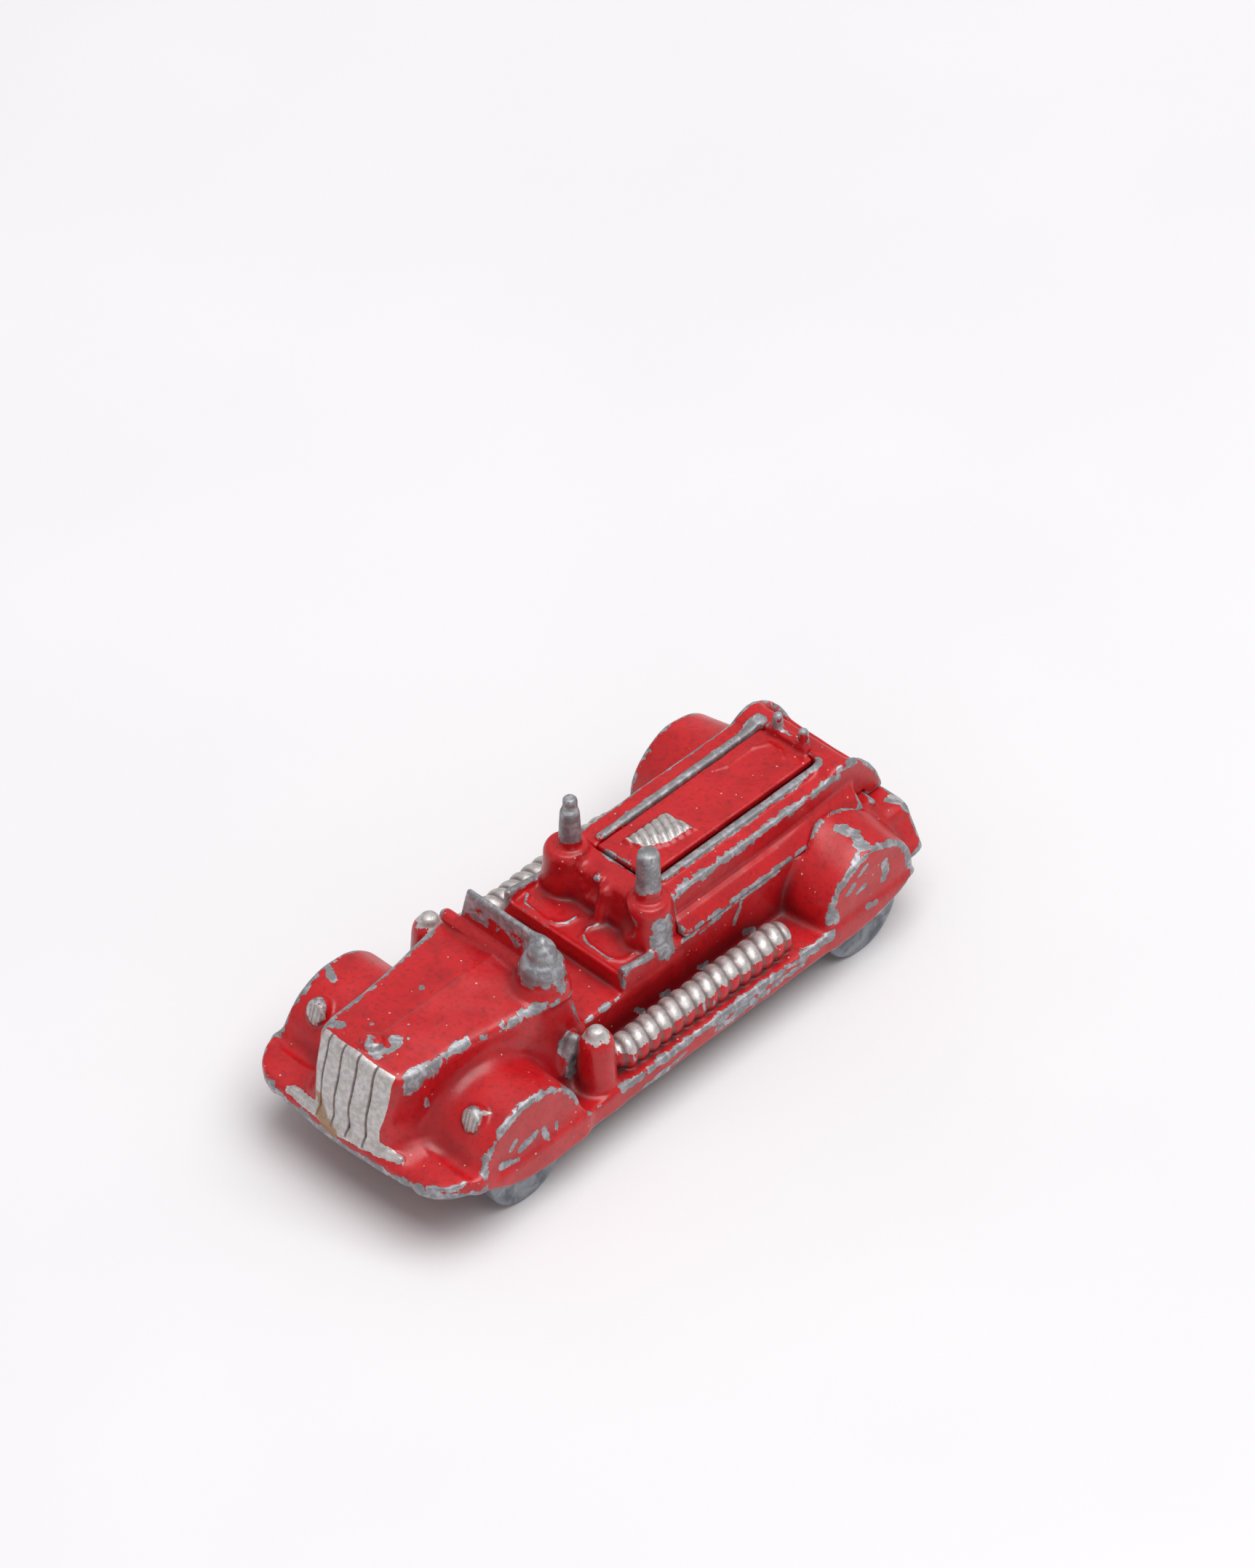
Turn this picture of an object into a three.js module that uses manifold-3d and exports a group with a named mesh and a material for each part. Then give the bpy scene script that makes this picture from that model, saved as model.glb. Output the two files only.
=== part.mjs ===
// A die-cast pocket fire engine with an open cab, made of two body castings, a deck
// panel, a pressed base plate, and four solid wheels that turn on two axles.
// Millimetres. +Z is up, the bonnet points along -Y, and +X is the vehicle's left.
// The origin is on the ground, under the middle of the model.
import * as THREE from 'three';
import { mergeVertices } from 'three/addons/utils/BufferGeometryUtils.js';
import Module from 'manifold-3d';

const wasm = await Module();
wasm.setup();

// ---- driving dimensions -------------------------------------------------------------
const HALF_LENGTH = 30.1;
const HALF_WIDTH = 12.1;
const FRONT_AXLE_Y = -19.4;
const REAR_AXLE_Y = 21.6;
const WHEEL_RADIUS = 4.3;
const WHEEL_OUTER_X = 11.05;
const WHEEL_WIDTH = 1.9;
const AXLE_RADIUS = 0.6;
const AXLE_CLEARANCE = 0.06;
const FIT_GAP = 0.3;

const SKIRT_BOTTOM = 3.45;
const BOARD_TOP = 6.2;
const WING_WALL = 0.75;
const BODY_SIDE_X = 7.1;
const CAB_FLOOR = 10.1;
const SEAT_TOP = 11.7;
const CASTING_WALL = 1.0;

const FRONT_WING = { y: -19.8, z: 6.4, radius: 6.05 };
const REAR_WING = { y: 21.7, z: 6.9, radius: 5.35 };

const BONNET_FRONT_Y = -26.4;
const SCUTTLE_Y = -10.9;
const BONNET_TOP = 15.3;
const SEAT_FRONT_Y = -3.8;
const CREW_REAR_Y = 3.2;
const CREW_TOP = 15.4;
const POST_X = 4.65;
const PEG_HEIGHT = 6.2;

const BEAD_Y = -11.5;
const BEAD_Z = 15.7;
const SCREEN_TOP = 20.1;
const BELL = { x: 4.9, y: -11.4, z: 15.2 };
const EXTINGUISHER = { x: 9.8, y: -10.0 };
const HOSE_RADIUS = 1.6;
const HOSE_LENGTH = 16.6;
const LAMP = { x: 9.1, y: -23.7, z: 11.15 };

const REAR_BODY_FRONT_Y = CREW_REAR_Y + FIT_GAP;
const DECK_Z = 15.4;
const DECK_HALF_WIDTH = 5.7;
const DECK_REAR_Y = 25.8;
const RAIL_X = 3.6;
const RAIL_WIDTH = 0.6;
const RAIL_TOP = 16.1;
const STEP_Z = 11.6;
const CHEEK = { y: 24.5, z: 10.65, radius: 5.4 };
const TAIL_TOP = 10.3;

const PLATE_Z = 5.3;
const PLATE_THICKNESS = 0.4;
const EAR_X = 8.0;
const STUD_YS = [-9, 11];
const STUD_RADIUS = 1.2;
const STUD_RECESS = 0.1;
const STUD_TOP_Z = 9.2;

// ---- solids -------------------------------------------------------------------------
function toSolid(geometry) {
  const bare = geometry.clone();
  bare.deleteAttribute('normal');
  bare.deleteAttribute('uv');
  const merged = mergeVertices(bare, 1e-4);
  return new wasm.Manifold(new wasm.Mesh({
    numProp: 3,
    vertProperties: new Float32Array(merged.attributes.position.array),
    triVerts: new Uint32Array(merged.index.array),
  }));
}

function toGeometry(solid) {
  const mesh = solid.getMesh();
  const geometry = new THREE.BufferGeometry();
  geometry.setAttribute('position', new THREE.BufferAttribute(mesh.vertProperties, 3));
  geometry.setIndex(new THREE.BufferAttribute(mesh.triVerts, 1));
  const faceted = geometry.toNonIndexed();
  faceted.computeVertexNormals();
  return faceted;
}

function joined(...solids) {
  return solids.reduce((sum, solid) => sum.add(solid));
}

function shapeOf(points) {
  return new THREE.Shape(points.map(([a, b]) => new THREE.Vector2(a, b)));
}

function extrude(shape, depth) {
  return new THREE.ExtrudeGeometry(shape, { depth, bevelEnabled: false, curveSegments: 10 });
}

// An outline in (x, y), drawn from z0 up to z1.
function fromPlan(points, z0, z1) {
  return toSolid(extrude(shapeOf(points), z1 - z0).translate(0, 0, z0));
}

// An outline in (y, z), drawn from x0 across to x1.
function fromSide(points, x0, x1) {
  const turn = new THREE.Matrix4().makeBasis(
    new THREE.Vector3(0, 1, 0), new THREE.Vector3(0, 0, 1), new THREE.Vector3(1, 0, 0));
  const geometry = extrude(shapeOf(points), x1 - x0).applyMatrix4(turn);
  return toSolid(geometry.translate(x0, 0, 0));
}

// An outline in (x, z), drawn from y1 forwards to y0.
function fromFront(points, y0, y1) {
  const turn = new THREE.Matrix4().makeBasis(
    new THREE.Vector3(1, 0, 0), new THREE.Vector3(0, 0, 1), new THREE.Vector3(0, -1, 0));
  const geometry = extrude(shapeOf(points), y1 - y0).applyMatrix4(turn);
  return toSolid(geometry.translate(0, y1, 0));
}

function block(x0, x1, y0, y1, z0, z1) {
  const geometry = new THREE.BoxGeometry(x1 - x0, y1 - y0, z1 - z0);
  return toSolid(geometry.translate((x0 + x1) / 2, (y0 + y1) / 2, (z0 + z1) / 2));
}

// A turned shape about a vertical axis; the profile holds [radius, height] pairs.
function turned(profile, x, y, z, segments = 16) {
  const points = profile.map(([radius, height]) => new THREE.Vector2(radius, height));
  const geometry = new THREE.LatheGeometry(points, segments).rotateX(Math.PI / 2);
  return toSolid(geometry.translate(x, y, z));
}

function arc(centreY, centreZ, radius, from, to, steps) {
  return Array.from({ length: steps + 1 }, (_, i) => {
    const angle = THREE.MathUtils.degToRad(from + (to - from) * i / steps);
    return [centreY + radius * Math.cos(angle), centreZ + radius * Math.sin(angle)];
  });
}

function mirroredPlan(rightHalf) {
  const leftHalf = rightHalf.map(([x, y]) => [-x, y]).reverse();
  return [...rightHalf, ...leftHalf];
}

function bothSides(make) {
  return joined(make(1), make(-1));
}

// Orders a pair of distances so that a slab on either side runs from low to high x.
function span(side, inner, outer) {
  return side > 0 ? [inner, outer] : [-outer, -inner];
}

// ---- the main casting ---------------------------------------------------------------
function tub() {
  const outline = mirroredPlan([
    [0, -HALF_LENGTH], [7.8, -HALF_LENGTH], [9.9, -29.6], [11.0, -28.8], [11.7, -27.7], [HALF_WIDTH, -26],
    [HALF_WIDTH, 26.0], [11.4, 28.2], [10.2, 29.6], [8.6, HALF_LENGTH], [0, HALF_LENGTH],
  ]);
  const profile = [
    [-HALF_LENGTH, 6.1], [-27.5, 6.2], [-25.4, 6.0], [-22.8, 4.6], [-20.6, 3.8],
    [-18, SKIRT_BOTTOM], [19, SKIRT_BOTTOM], [21, 3.7], [23.2, 4.3], [25, 5], [26.5, 5.9],
    [HALF_LENGTH, 6.0], [HALF_LENGTH, 6.4], [16.4, BOARD_TOP], [-24.2, BOARD_TOP],
    [-25.6, 7.3], [-27.2, 8.2], [-29.2, 7.8], [-HALF_LENGTH, 7.3],
  ];
  return fromPlan(outline, 0, 12).intersect(fromSide(profile, -13, 13));
}

function wing(side, place) {
  const [x0, x1] = span(side, BODY_SIDE_X - 1.4, HALF_WIDTH);
  const outline = arc(place.y, place.z, place.radius, -4, 184, 18);
  return fromSide([...outline, [place.y, place.z - 1]], x0, x1);
}

function bonnet() {
  const section = [
    [-1, 0], [1, 0], [1, 0.93], [0.96, 0.97], [0.5, 0.99], [0, 1],
    [-0.5, 0.99], [-0.96, 0.97], [-1, 0.93],
  ];
  const outline = shapeOf(section.map(([x, z]) => [x, z]));
  const length = SCUTTLE_Y - BONNET_FRONT_Y;
  const geometry = new THREE.ExtrudeGeometry(outline, { depth: 1, steps: 4, bevelEnabled: false });
  geometry.deleteAttribute('normal');
  const position = geometry.attributes.position;
  const base = 5.5;
  for (let i = 0; i < position.count; i += 1) {
    const along = position.getZ(i);
    const halfWidth = THREE.MathUtils.lerp(5.3, BODY_SIDE_X, along);
    const height = BONNET_TOP + 0.45 - base;
    position.setXYZ(i, position.getX(i) * halfWidth, BONNET_FRONT_Y + along * length,
      base + position.getY(i) * height);
  }
  return toSolid(flipped(geometry));
}

// Turns every face round, for a mesh whose axes were swapped into a mirror image.
function flipped(geometry) {
  const merged = mergeVertices(geometryWithoutUv(geometry), 1e-5);
  const index = merged.index.array;
  for (let i = 0; i < index.length; i += 3) {
    [index[i], index[i + 1]] = [index[i + 1], index[i]];
  }
  return merged;
}

function geometryWithoutUv(geometry) {
  const bare = geometry.clone();
  bare.deleteAttribute('uv');
  return bare;
}

function radiator() {
  const leaning = [
    [-25.6, 6.2], [-29.3, 6.2], [-29.45, 9.6], [-28.9, 12], [-27.9, 16.1], [-27.2, 16.3],
    [-25.6, 15.8],
  ];
  const shell = fromSide(leaning, -4.2, 4.2);
  const cap = turned([[0, 0], [0.9, 0], [0.9, 1.1], [0.6, 1.3], [0, 1.3]], 0, -26.6, 15.4, 14);
  return joined(shell, cap);
}

function scuttleAndScreen() {
  const bead = toSolid(new THREE.CylinderGeometry(0.65, 0.65, 12.6, 10).rotateZ(Math.PI / 2)
    .translate(0, BEAD_Y, BEAD_Z));
  const screen = fromSide([[BEAD_Y + 0.1, BEAD_Z], [BEAD_Y + 0.75, BEAD_Z],
    [BEAD_Y + 0.65, SCREEN_TOP], [BEAD_Y + 0.1, SCREEN_TOP]], -4.3, 4.6);
  const bell = turned([
    [0, 0], [2.4, 0], [1.95, 0.9], [1.9, 2.0], [1.3, 2.7], [1.2, 3.8], [0.7, 4.4],
    [0.4, 4.7], [0, 4.7],
  ], BELL.x, BELL.y, BELL.z, 18);
  return joined(bead, screen, bell);
}

function cab() {
  const floorSlab = block(-BODY_SIDE_X, BODY_SIDE_X, SCUTTLE_Y - 1, CREW_REAR_Y, 5.5, CAB_FLOOR);
  const seat = block(-6.6, 6.6, SEAT_FRONT_Y, CREW_REAR_Y - 1, 9, SEAT_TOP);
  const seatSide = (side) => fromSide(
    [[-4.0, 9], [REAR_BODY_FRONT_Y, 9], [REAR_BODY_FRONT_Y, STEP_Z], [-4.0, 12.85]],
    ...span(side, 6.4, BODY_SIDE_X));
  return joined(floorSlab, seat, bothSides(seatSide));
}

function crewBlock() {
  const wall = fromFront(
    [[-6.6, 9.5], [6.6, 9.5], [5.9, CREW_TOP], [-5.9, CREW_TOP]], 1.0, REAR_BODY_FRONT_Y);
  const posts = bothSides((side) => turned(
    [[0, 0], [2.2, 0], [1.85, 5.1], [1.5, 5.5], [0, 5.5]], side * POST_X, 1.2, 10, 14));
  const pegs = bothSides((side) => turned(
    [[0, 0], [1.3, 0], [1.15, 1.0], [0.95, 5.8], [0.6, PEG_HEIGHT], [0, PEG_HEIGHT]],
    side * 4.57, 1.6, CREW_TOP - 0.4, 12));
  return joined(wall, posts, pegs);
}

function lowerSides() {
  const side = (sign) => fromSide(
    [[CREW_REAR_Y - 1, 5.5], [27.2, 5.5], [27.2, STEP_Z - FIT_GAP - 0.4],
      [CREW_REAR_Y - 1, STEP_Z - FIT_GAP - 0.4]],
    ...span(sign, BODY_SIDE_X - 1, BODY_SIDE_X));
  const floorSlab = block(-BODY_SIDE_X + 0.5, BODY_SIDE_X - 0.5, CREW_REAR_Y - 1, 28, 8.8,
    STEP_Z - FIT_GAP - 0.4);
  return joined(bothSides(side), floorSlab);
}

function runningBoardFittings(side) {
  const extinguisher = turned(
    [[0, 0], [1.7, 0], [1.45, 4.4], [1.15, 5.4], [0.5, 5.9], [0, 6.2]],
    side * EXTINGUISHER.x, EXTINGUISHER.y, BOARD_TOP - 0.2, 16);
  const hose = toSolid(new THREE.CapsuleGeometry(HOSE_RADIUS, HOSE_LENGTH, 4, 14)
    .translate(side * 9.7, 2.5, BOARD_TOP + 0.95));
  const lump = toSolid(new THREE.SphereGeometry(1, 10, 8).scale(0.7, 0.9, 2.2)
    .translate(side * 7.7, -11.5, 8.6));
  return joined(extinguisher, hose, lump);
}

function headlamp(side) {
  return toSolid(new THREE.SphereGeometry(1, 12, 8).scale(1.1, 1.2, 1.2)
    .translate(side * LAMP.x, LAMP.y, LAMP.z));
}

function tail() {
  return block(-7.8, 7.8, 26, 29.9, 6, TAIL_TOP);
}

// The hollow underside: a shallow pocket between the skirts, a deep one under the bonnet
// and the deck, and a round well for each wheel.
function underside() {
  const skirts = block(-11.3, 11.3, -13.4, 16.2, 0, PLATE_Z - FIT_GAP);
  const spine = block(-6.75, 6.75, -25.6, 27.0, 0, 6.0);
  const belly = block(-BODY_SIDE_X + CASTING_WALL, BODY_SIDE_X - CASTING_WALL, -13, 26.4, 0, 8.6);
  const underBonnet = block(-4.4, 4.4, -26.2, -12.4, 0, 14);
  const well = (place, axleY) => bothSides((side) => {
    const [x0, x1] = span(side, 8.6, HALF_WIDTH - WING_WALL);
    const reach = place.radius - WING_WALL;
    const dome = arc(place.y, place.z, reach, 0, 180, 16);
    return fromSide([...dome, [axleY - reach, 0], [axleY + reach, 0]], x0, x1);
  });
  const axleRoom = bothSides((side) => {
    const [x0, x1] = span(side, 6.5, 8.7);
    return joined(
      block(x0, x1, FRONT_AXLE_Y - 4.9, FRONT_AXLE_Y + 4.9, 0, 6.9),
      block(x0, x1, REAR_AXLE_Y - 4.4, REAR_AXLE_Y + 4.4, 0, 6.9));
  });
  return joined(skirts, spine, belly, underBonnet, well(FRONT_WING, FRONT_AXLE_Y),
    well(REAR_WING, REAR_AXLE_Y), axleRoom);
}

// Rivet studs that hang from the floor and end inside the holes of the base plate.
function plateStuds() {
  const length = STUD_TOP_Z - PLATE_Z - STUD_RECESS;
  return STUD_YS.map((y) => turned(
    [[0, 0], [STUD_RADIUS, 0], [STUD_RADIUS, length], [0, length]],
    0, y, PLATE_Z + STUD_RECESS, 16));
}

// The seat that the rear casting's spigot drops into.
function rearBodySeat() {
  return block(-DECK_HALF_WIDTH + 0.6 - FIT_GAP, DECK_HALF_WIDTH - 0.6 + FIT_GAP,
    REAR_BODY_FRONT_Y, 25.4, 10.0, 20);
}

function bodyCasting() {
  const outside = joined(
    tub(), bonnet(), radiator(), scuttleAndScreen(), cab(), lowerSides(), crewBlock(), tail(),
    bothSides((side) => wing(side, FRONT_WING)),
    bothSides((side) => wing(side, REAR_WING)),
    bothSides(runningBoardFittings), bothSides(headlamp));
  const overRear = block(-20, 20, REAR_BODY_FRONT_Y - FIT_GAP, 40, STEP_Z - FIT_GAP, 30)
    .intersect(block(-BODY_SIDE_X - 0.5 - FIT_GAP, BODY_SIDE_X + 0.5 + FIT_GAP, 0, 40, 0, 30));
  const hollow = outside.subtract(underside()).subtract(rearBodySeat()).subtract(overRear);
  return joined(hollow, ...plateStuds());
}

// ---- the rear casting ---------------------------------------------------------------
function rearBody() {
  const y0 = REAR_BODY_FRONT_Y;
  const overTail = TAIL_TOP + FIT_GAP;
  const endRound = arc(CHEEK.y, CHEEK.z, CHEEK.radius, 0, 90, 8);
  const sideView = [[y0, STEP_Z], [28.4, STEP_Z], [28.4, overTail], ...endRound,
    [22.6, DECK_Z], [y0, DECK_Z]];
  const upper = fromSide(sideView, -DECK_HALF_WIDTH, DECK_HALF_WIDTH);
  const behindDeck = block(-DECK_HALF_WIDTH + 0.8, DECK_HALF_WIDTH - 0.8, DECK_REAR_Y, 31,
    STEP_Z + 0.8, 30);
  const flange = fromFront(
    [[-7.3, STEP_Z], [7.3, STEP_Z], [5.9, 12.9], [-5.9, 12.9]], y0, 25.2);
  const spigot = block(-DECK_HALF_WIDTH + 0.6, DECK_HALF_WIDTH - 0.6, y0 + FIT_GAP, 25.1, 10.3,
    STEP_Z + 0.5);
  const rail = bothSides((side) => block(
    ...span(side, RAIL_X - RAIL_WIDTH / 2, RAIL_X + RAIL_WIDTH / 2), y0, 23.8, DECK_Z - 0.2,
    RAIL_TOP));
  const inset = block(-RAIL_X + RAIL_WIDTH / 2, RAIL_X - RAIL_WIDTH / 2, y0 - 1, 23.9,
    DECK_Z - 0.8, 30);
  return joined(upper.subtract(behindDeck), flange, spigot, rail).subtract(inset);
}

// ---- the deck panel -----------------------------------------------------------------
function deckPanel() {
  const halfWidth = RAIL_X - RAIL_WIDTH / 2 - FIT_GAP;
  const plate = block(-halfWidth, halfWidth, REAR_BODY_FRONT_Y + 0.1, 23.6, DECK_Z - 0.5,
    DECK_Z + 0.35);
  const coil = toSolid(new THREE.SphereGeometry(1, 12, 8).scale(2.1, 2.3, 0.9)
    .translate(0, 7.4, DECK_Z + 0.3));
  const ridge = block(-2.2, 2.2, 22.35, 23.6, DECK_Z, DECK_Z + 1.3);
  const pegs = bothSides((side) => turned(
    [[0, 0], [0.6, 0], [0.45, 1.9], [0.25, 2.1], [0, 2.1]], side * 1.5, 23.05, DECK_Z + 0.75, 10));
  return joined(plate, coil, ridge, pegs);
}

// ---- the running gear ---------------------------------------------------------------
function axleHole(y, radius) {
  return toSolid(new THREE.CylinderGeometry(radius, radius, 2.4 * HALF_WIDTH, 20)
    .rotateZ(Math.PI / 2).translate(0, y, WHEEL_RADIUS));
}

function basePlate() {
  const outline = mirroredPlan([
    [0, -25.2], [5.5, -25.2], [6.5, -24.2], [6.5, 25.7], [5.5, 26.7], [0, 26.7],
  ]);
  const sheet = fromPlan(outline, PLATE_Z, PLATE_Z + PLATE_THICKNESS);
  const ears = [FRONT_AXLE_Y, REAR_AXLE_Y].map((y) => bothSides((side) => {
    const [x0, x1] = span(side, EAR_X - PLATE_THICKNESS, EAR_X);
    const drop = fromSide(
      [[y - 1.6, PLATE_Z + PLATE_THICKNESS], [y - 1.6, 4.2], [y - 0.8, 3.1], [y + 0.8, 3.1],
        [y + 1.6, 4.2], [y + 1.6, PLATE_Z + PLATE_THICKNESS]], x0, x1);
    const neck = block(...span(side, 6.0, EAR_X), y - 1.6, y + 1.6, PLATE_Z,
      PLATE_Z + PLATE_THICKNESS);
    return joined(drop, neck);
  }));
  const holeRadius = STUD_RADIUS + FIT_GAP;
  const studHoles = STUD_YS.map((y) => turned(
    [[0, -1], [holeRadius, -1], [holeRadius, 1], [0, 1]], 0, y, PLATE_Z + PLATE_THICKNESS / 2, 16));
  return joined(sheet, ...ears).subtract(joined(
    axleHole(FRONT_AXLE_Y, AXLE_RADIUS + AXLE_CLEARANCE),
    axleHole(REAR_AXLE_Y, AXLE_RADIUS + AXLE_CLEARANCE), ...studHoles));
}

// Turned about X: profile pairs are [radius, distance along X].
function turnedAcross(profile, segments) {
  const points = profile.map(([radius, along]) => new THREE.Vector2(radius, along));
  return new THREE.LatheGeometry(points, segments).rotateZ(-Math.PI / 2);
}

function axleGeometry() {
  const end = WHEEL_OUTER_X + 0.25;
  const head = WHEEL_OUTER_X + 0.05;
  return turnedAcross([
    [0, -end], [0.85, -end], [0.85, -head], [AXLE_RADIUS, -head],
    [AXLE_RADIUS, head], [0.85, head], [0.85, end], [0, end],
  ], 20);
}

// A solid disc wheel with a shallow dished face, a rounded tread and a hub boss inside.
function wheelGeometry() {
  const bore = AXLE_RADIUS + AXLE_CLEARANCE;
  const profile = [
    [bore, -WHEEL_WIDTH], [1.5, -WHEEL_WIDTH], [1.7, -WHEEL_WIDTH + 0.3],
    [WHEEL_RADIUS - 0.2, -WHEEL_WIDTH + 0.3], [WHEEL_RADIUS, -WHEEL_WIDTH + 0.5],
    [WHEEL_RADIUS, -0.2], [WHEEL_RADIUS - 0.2, 0], [bore, 0],
  ];
  return turnedAcross([...profile, profile[0]], 40);
}

// ---- the assembly -------------------------------------------------------------------
const RED = { color: 0xb8242a, roughness: 0.42, metalness: 0.0 };
const ZINC = { color: 0x86868a, roughness: 0.5, metalness: 0.85 };
const STEEL = { color: 0x77777a, roughness: 0.4, metalness: 0.95 };

const model = new THREE.Group();

function place(name, geometry, finish, x = 0, y = 0, z = 0) {
  const mesh = new THREE.Mesh(geometry, new THREE.MeshStandardMaterial(finish));
  mesh.name = name;
  mesh.position.set(x, y, z);
  model.add(mesh);
  return mesh;
}

place('body_casting', toGeometry(bodyCasting()), RED);
place('rear_body', toGeometry(rearBody()), RED);
place('deck_panel', toGeometry(deckPanel()), RED);
place('base_plate', toGeometry(basePlate()), STEEL);

for (const [end, axleY] of [['front', FRONT_AXLE_Y], ['rear', REAR_AXLE_Y]]) {
  place(`${end}_axle`, axleGeometry(), STEEL, 0, axleY, WHEEL_RADIUS);
  for (const [side, sign] of [['left', 1], ['right', -1]]) {
    const wheel = place(`${end}_${side}_wheel`, wheelGeometry(), ZINC,
      sign * WHEEL_OUTER_X, axleY, WHEEL_RADIUS);
    wheel.rotation.z = sign > 0 ? 0 : Math.PI;
  }
}

export default model;
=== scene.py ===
import math

import bpy
import numpy as np
from mathutils import Matrix, Vector


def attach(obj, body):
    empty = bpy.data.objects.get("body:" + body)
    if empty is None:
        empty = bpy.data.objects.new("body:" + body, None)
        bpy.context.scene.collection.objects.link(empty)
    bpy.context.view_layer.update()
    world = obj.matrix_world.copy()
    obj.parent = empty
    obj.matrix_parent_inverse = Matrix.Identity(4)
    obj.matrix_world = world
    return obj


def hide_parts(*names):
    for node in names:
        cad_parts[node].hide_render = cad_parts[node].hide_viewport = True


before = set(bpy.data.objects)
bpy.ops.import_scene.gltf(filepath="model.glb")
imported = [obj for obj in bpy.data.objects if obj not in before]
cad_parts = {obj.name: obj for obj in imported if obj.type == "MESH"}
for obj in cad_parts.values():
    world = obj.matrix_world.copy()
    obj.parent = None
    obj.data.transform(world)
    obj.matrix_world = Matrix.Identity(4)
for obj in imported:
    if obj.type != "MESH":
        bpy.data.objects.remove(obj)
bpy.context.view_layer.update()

# Shapes are written in millimetres in the CAD frame and become metres in make_object.
MM = 0.001
FAR = 1e3
BODY_STEP = 0.17
REAR_STEP = 0.15
PANEL_STEP = 0.11
PLATE_STEP = 0.2
# The open slit left round the rear body where it sits in the main casting.
SEAM = 0.035

FRONT_AXLE_Y = -19.4
REAR_AXLE_Y = 21.6
AXLE_Z = 4.3
WHEEL_X = 11.05
AXLE_SIDES = 40
STUD_Y = (-9, 11)
HOSE_X = 9.8
HOSE_Z = 7.4
HOSE_PITCH = 1.38
LAMP = (9.1, -23.7, 11.15)
RIB_PITCH = 0.42
COIL_OUTLINE = [(-1.9, 4.9), (-1.7, 10.3), (1.9, 10.6), (1.6, 7.6), (0.6, 5.6)]
CASTING_LOW = (-12.6, -30.7, 2.9)
CASTING_HIGH = (12.6, 30.7, 21.8)


# ---- signed distances: below zero is metal -------------------------------------------
def soft_min(a, b, blend):
    if blend <= 0:
        return np.minimum(a, b)
    h = np.maximum(blend - np.abs(a - b), 0) / blend
    return np.minimum(a, b) - h * h * (blend * 0.25)


def soft_max(a, b, blend):
    return -soft_min(-a, -b, blend)


def polygon(u, v, points):
    """Distance in a plane to a closed outline."""
    u, v = np.broadcast_arrays(u, v)
    best = np.full(u.shape, FAR, np.float32)
    inside = np.zeros(u.shape, bool)
    for (ax, ay), (bx, by) in zip(points, points[1:] + points[:1]):
        ex, ey = bx - ax, by - ay
        if not ex and not ey:
            continue
        wx, wy = u - ax, v - ay
        t = np.clip((wx * ex + wy * ey) / (ex * ex + ey * ey), 0, 1)
        best = np.minimum(best, (wx - ex * t) ** 2 + (wy - ey * t) ** 2)
        if ey:
            crosses = (ay > v) != (by > v)
            inside ^= crosses & (u < ex * (v - ay) / ey + ax)
    return np.where(inside, -1, 1) * np.sqrt(best)


def spread(values):
    return min(values), max(values)


def side(points, x0, x1, edge=0.3):
    """An outline in (y, z), across from x0 to x1."""
    ys, zs = spread([p[0] for p in points]), spread([p[1] for p in points])

    def distance(x, y, z):
        slab = np.abs(x - (x0 + x1) / 2) - (x1 - x0) / 2
        return soft_max(polygon(y, z, points), slab, edge)
    return (x0, ys[0], zs[0]), (x1, ys[1], zs[1]), distance


def plan(points, z0, z1, edge=0.3):
    """An outline in (x, y), from z0 up to z1."""
    xs, ys = spread([p[0] for p in points]), spread([p[1] for p in points])

    def distance(x, y, z):
        slab = np.abs(z - (z0 + z1) / 2) - (z1 - z0) / 2
        return soft_max(polygon(x, y, points), slab, edge)
    return (xs[0], ys[0], z0), (xs[1], ys[1], z1), distance


def front(points, y0, y1, edge=0.3):
    """An outline in (x, z), from y0 back to y1."""
    xs, zs = spread([p[0] for p in points]), spread([p[1] for p in points])

    def distance(x, y, z):
        slab = np.abs(y - (y0 + y1) / 2) - (y1 - y0) / 2
        return soft_max(polygon(x, z, points), slab, edge)
    return (xs[0], y0, zs[0]), (xs[1], y1, zs[1]), distance


def block(low, high, edge=0.2):
    centre = [(a + b) / 2 for a, b in zip(low, high)]
    half = [(b - a) / 2 - edge for a, b in zip(low, high)]

    def distance(x, y, z):
        q = [np.abs(v - c) - h for v, c, h in zip((x, y, z), centre, half)]
        outside = np.sqrt(sum(np.maximum(v, 0) ** 2 for v in q))
        inside = np.minimum(np.maximum(np.maximum(q[0], q[1]), q[2]), 0)
        return outside + inside - edge
    return low, high, distance


def turned(profile, cx, cy):
    """A shape turned about a vertical axis, from [radius, z] pairs, bottom to top."""
    outline = profile + [(-r, z) for r, z in reversed(profile)]
    reach = max(r for r, z in profile)
    zs = spread([z for r, z in profile])

    def distance(x, y, z):
        return polygon(np.sqrt((x - cx) ** 2 + (y - cy) ** 2), z, outline)
    return (cx - reach, cy - reach, zs[0]), (cx + reach, cy + reach, zs[1]), distance


def drum(cy, cz, radius, x0, x1, edge=0.4, flare=0.0):
    """A cylinder along x; its radius grows by flare for each millimetre inwards from x1."""
    most = radius + flare * (x1 - x0)

    def distance(x, y, z):
        wide = radius + flare * np.clip(x1 - x, 0, x1 - x0)
        round_part = (np.sqrt((y - cy) ** 2 + (z - cz) ** 2) - wide) / math.hypot(1, flare)
        slab = np.abs(x - (x0 + x1) / 2) - (x1 - x0) / 2
        return soft_max(round_part, slab, edge)
    return (x0, cy - most, cz - most), (x1, cy + most, cz + most), distance


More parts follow.
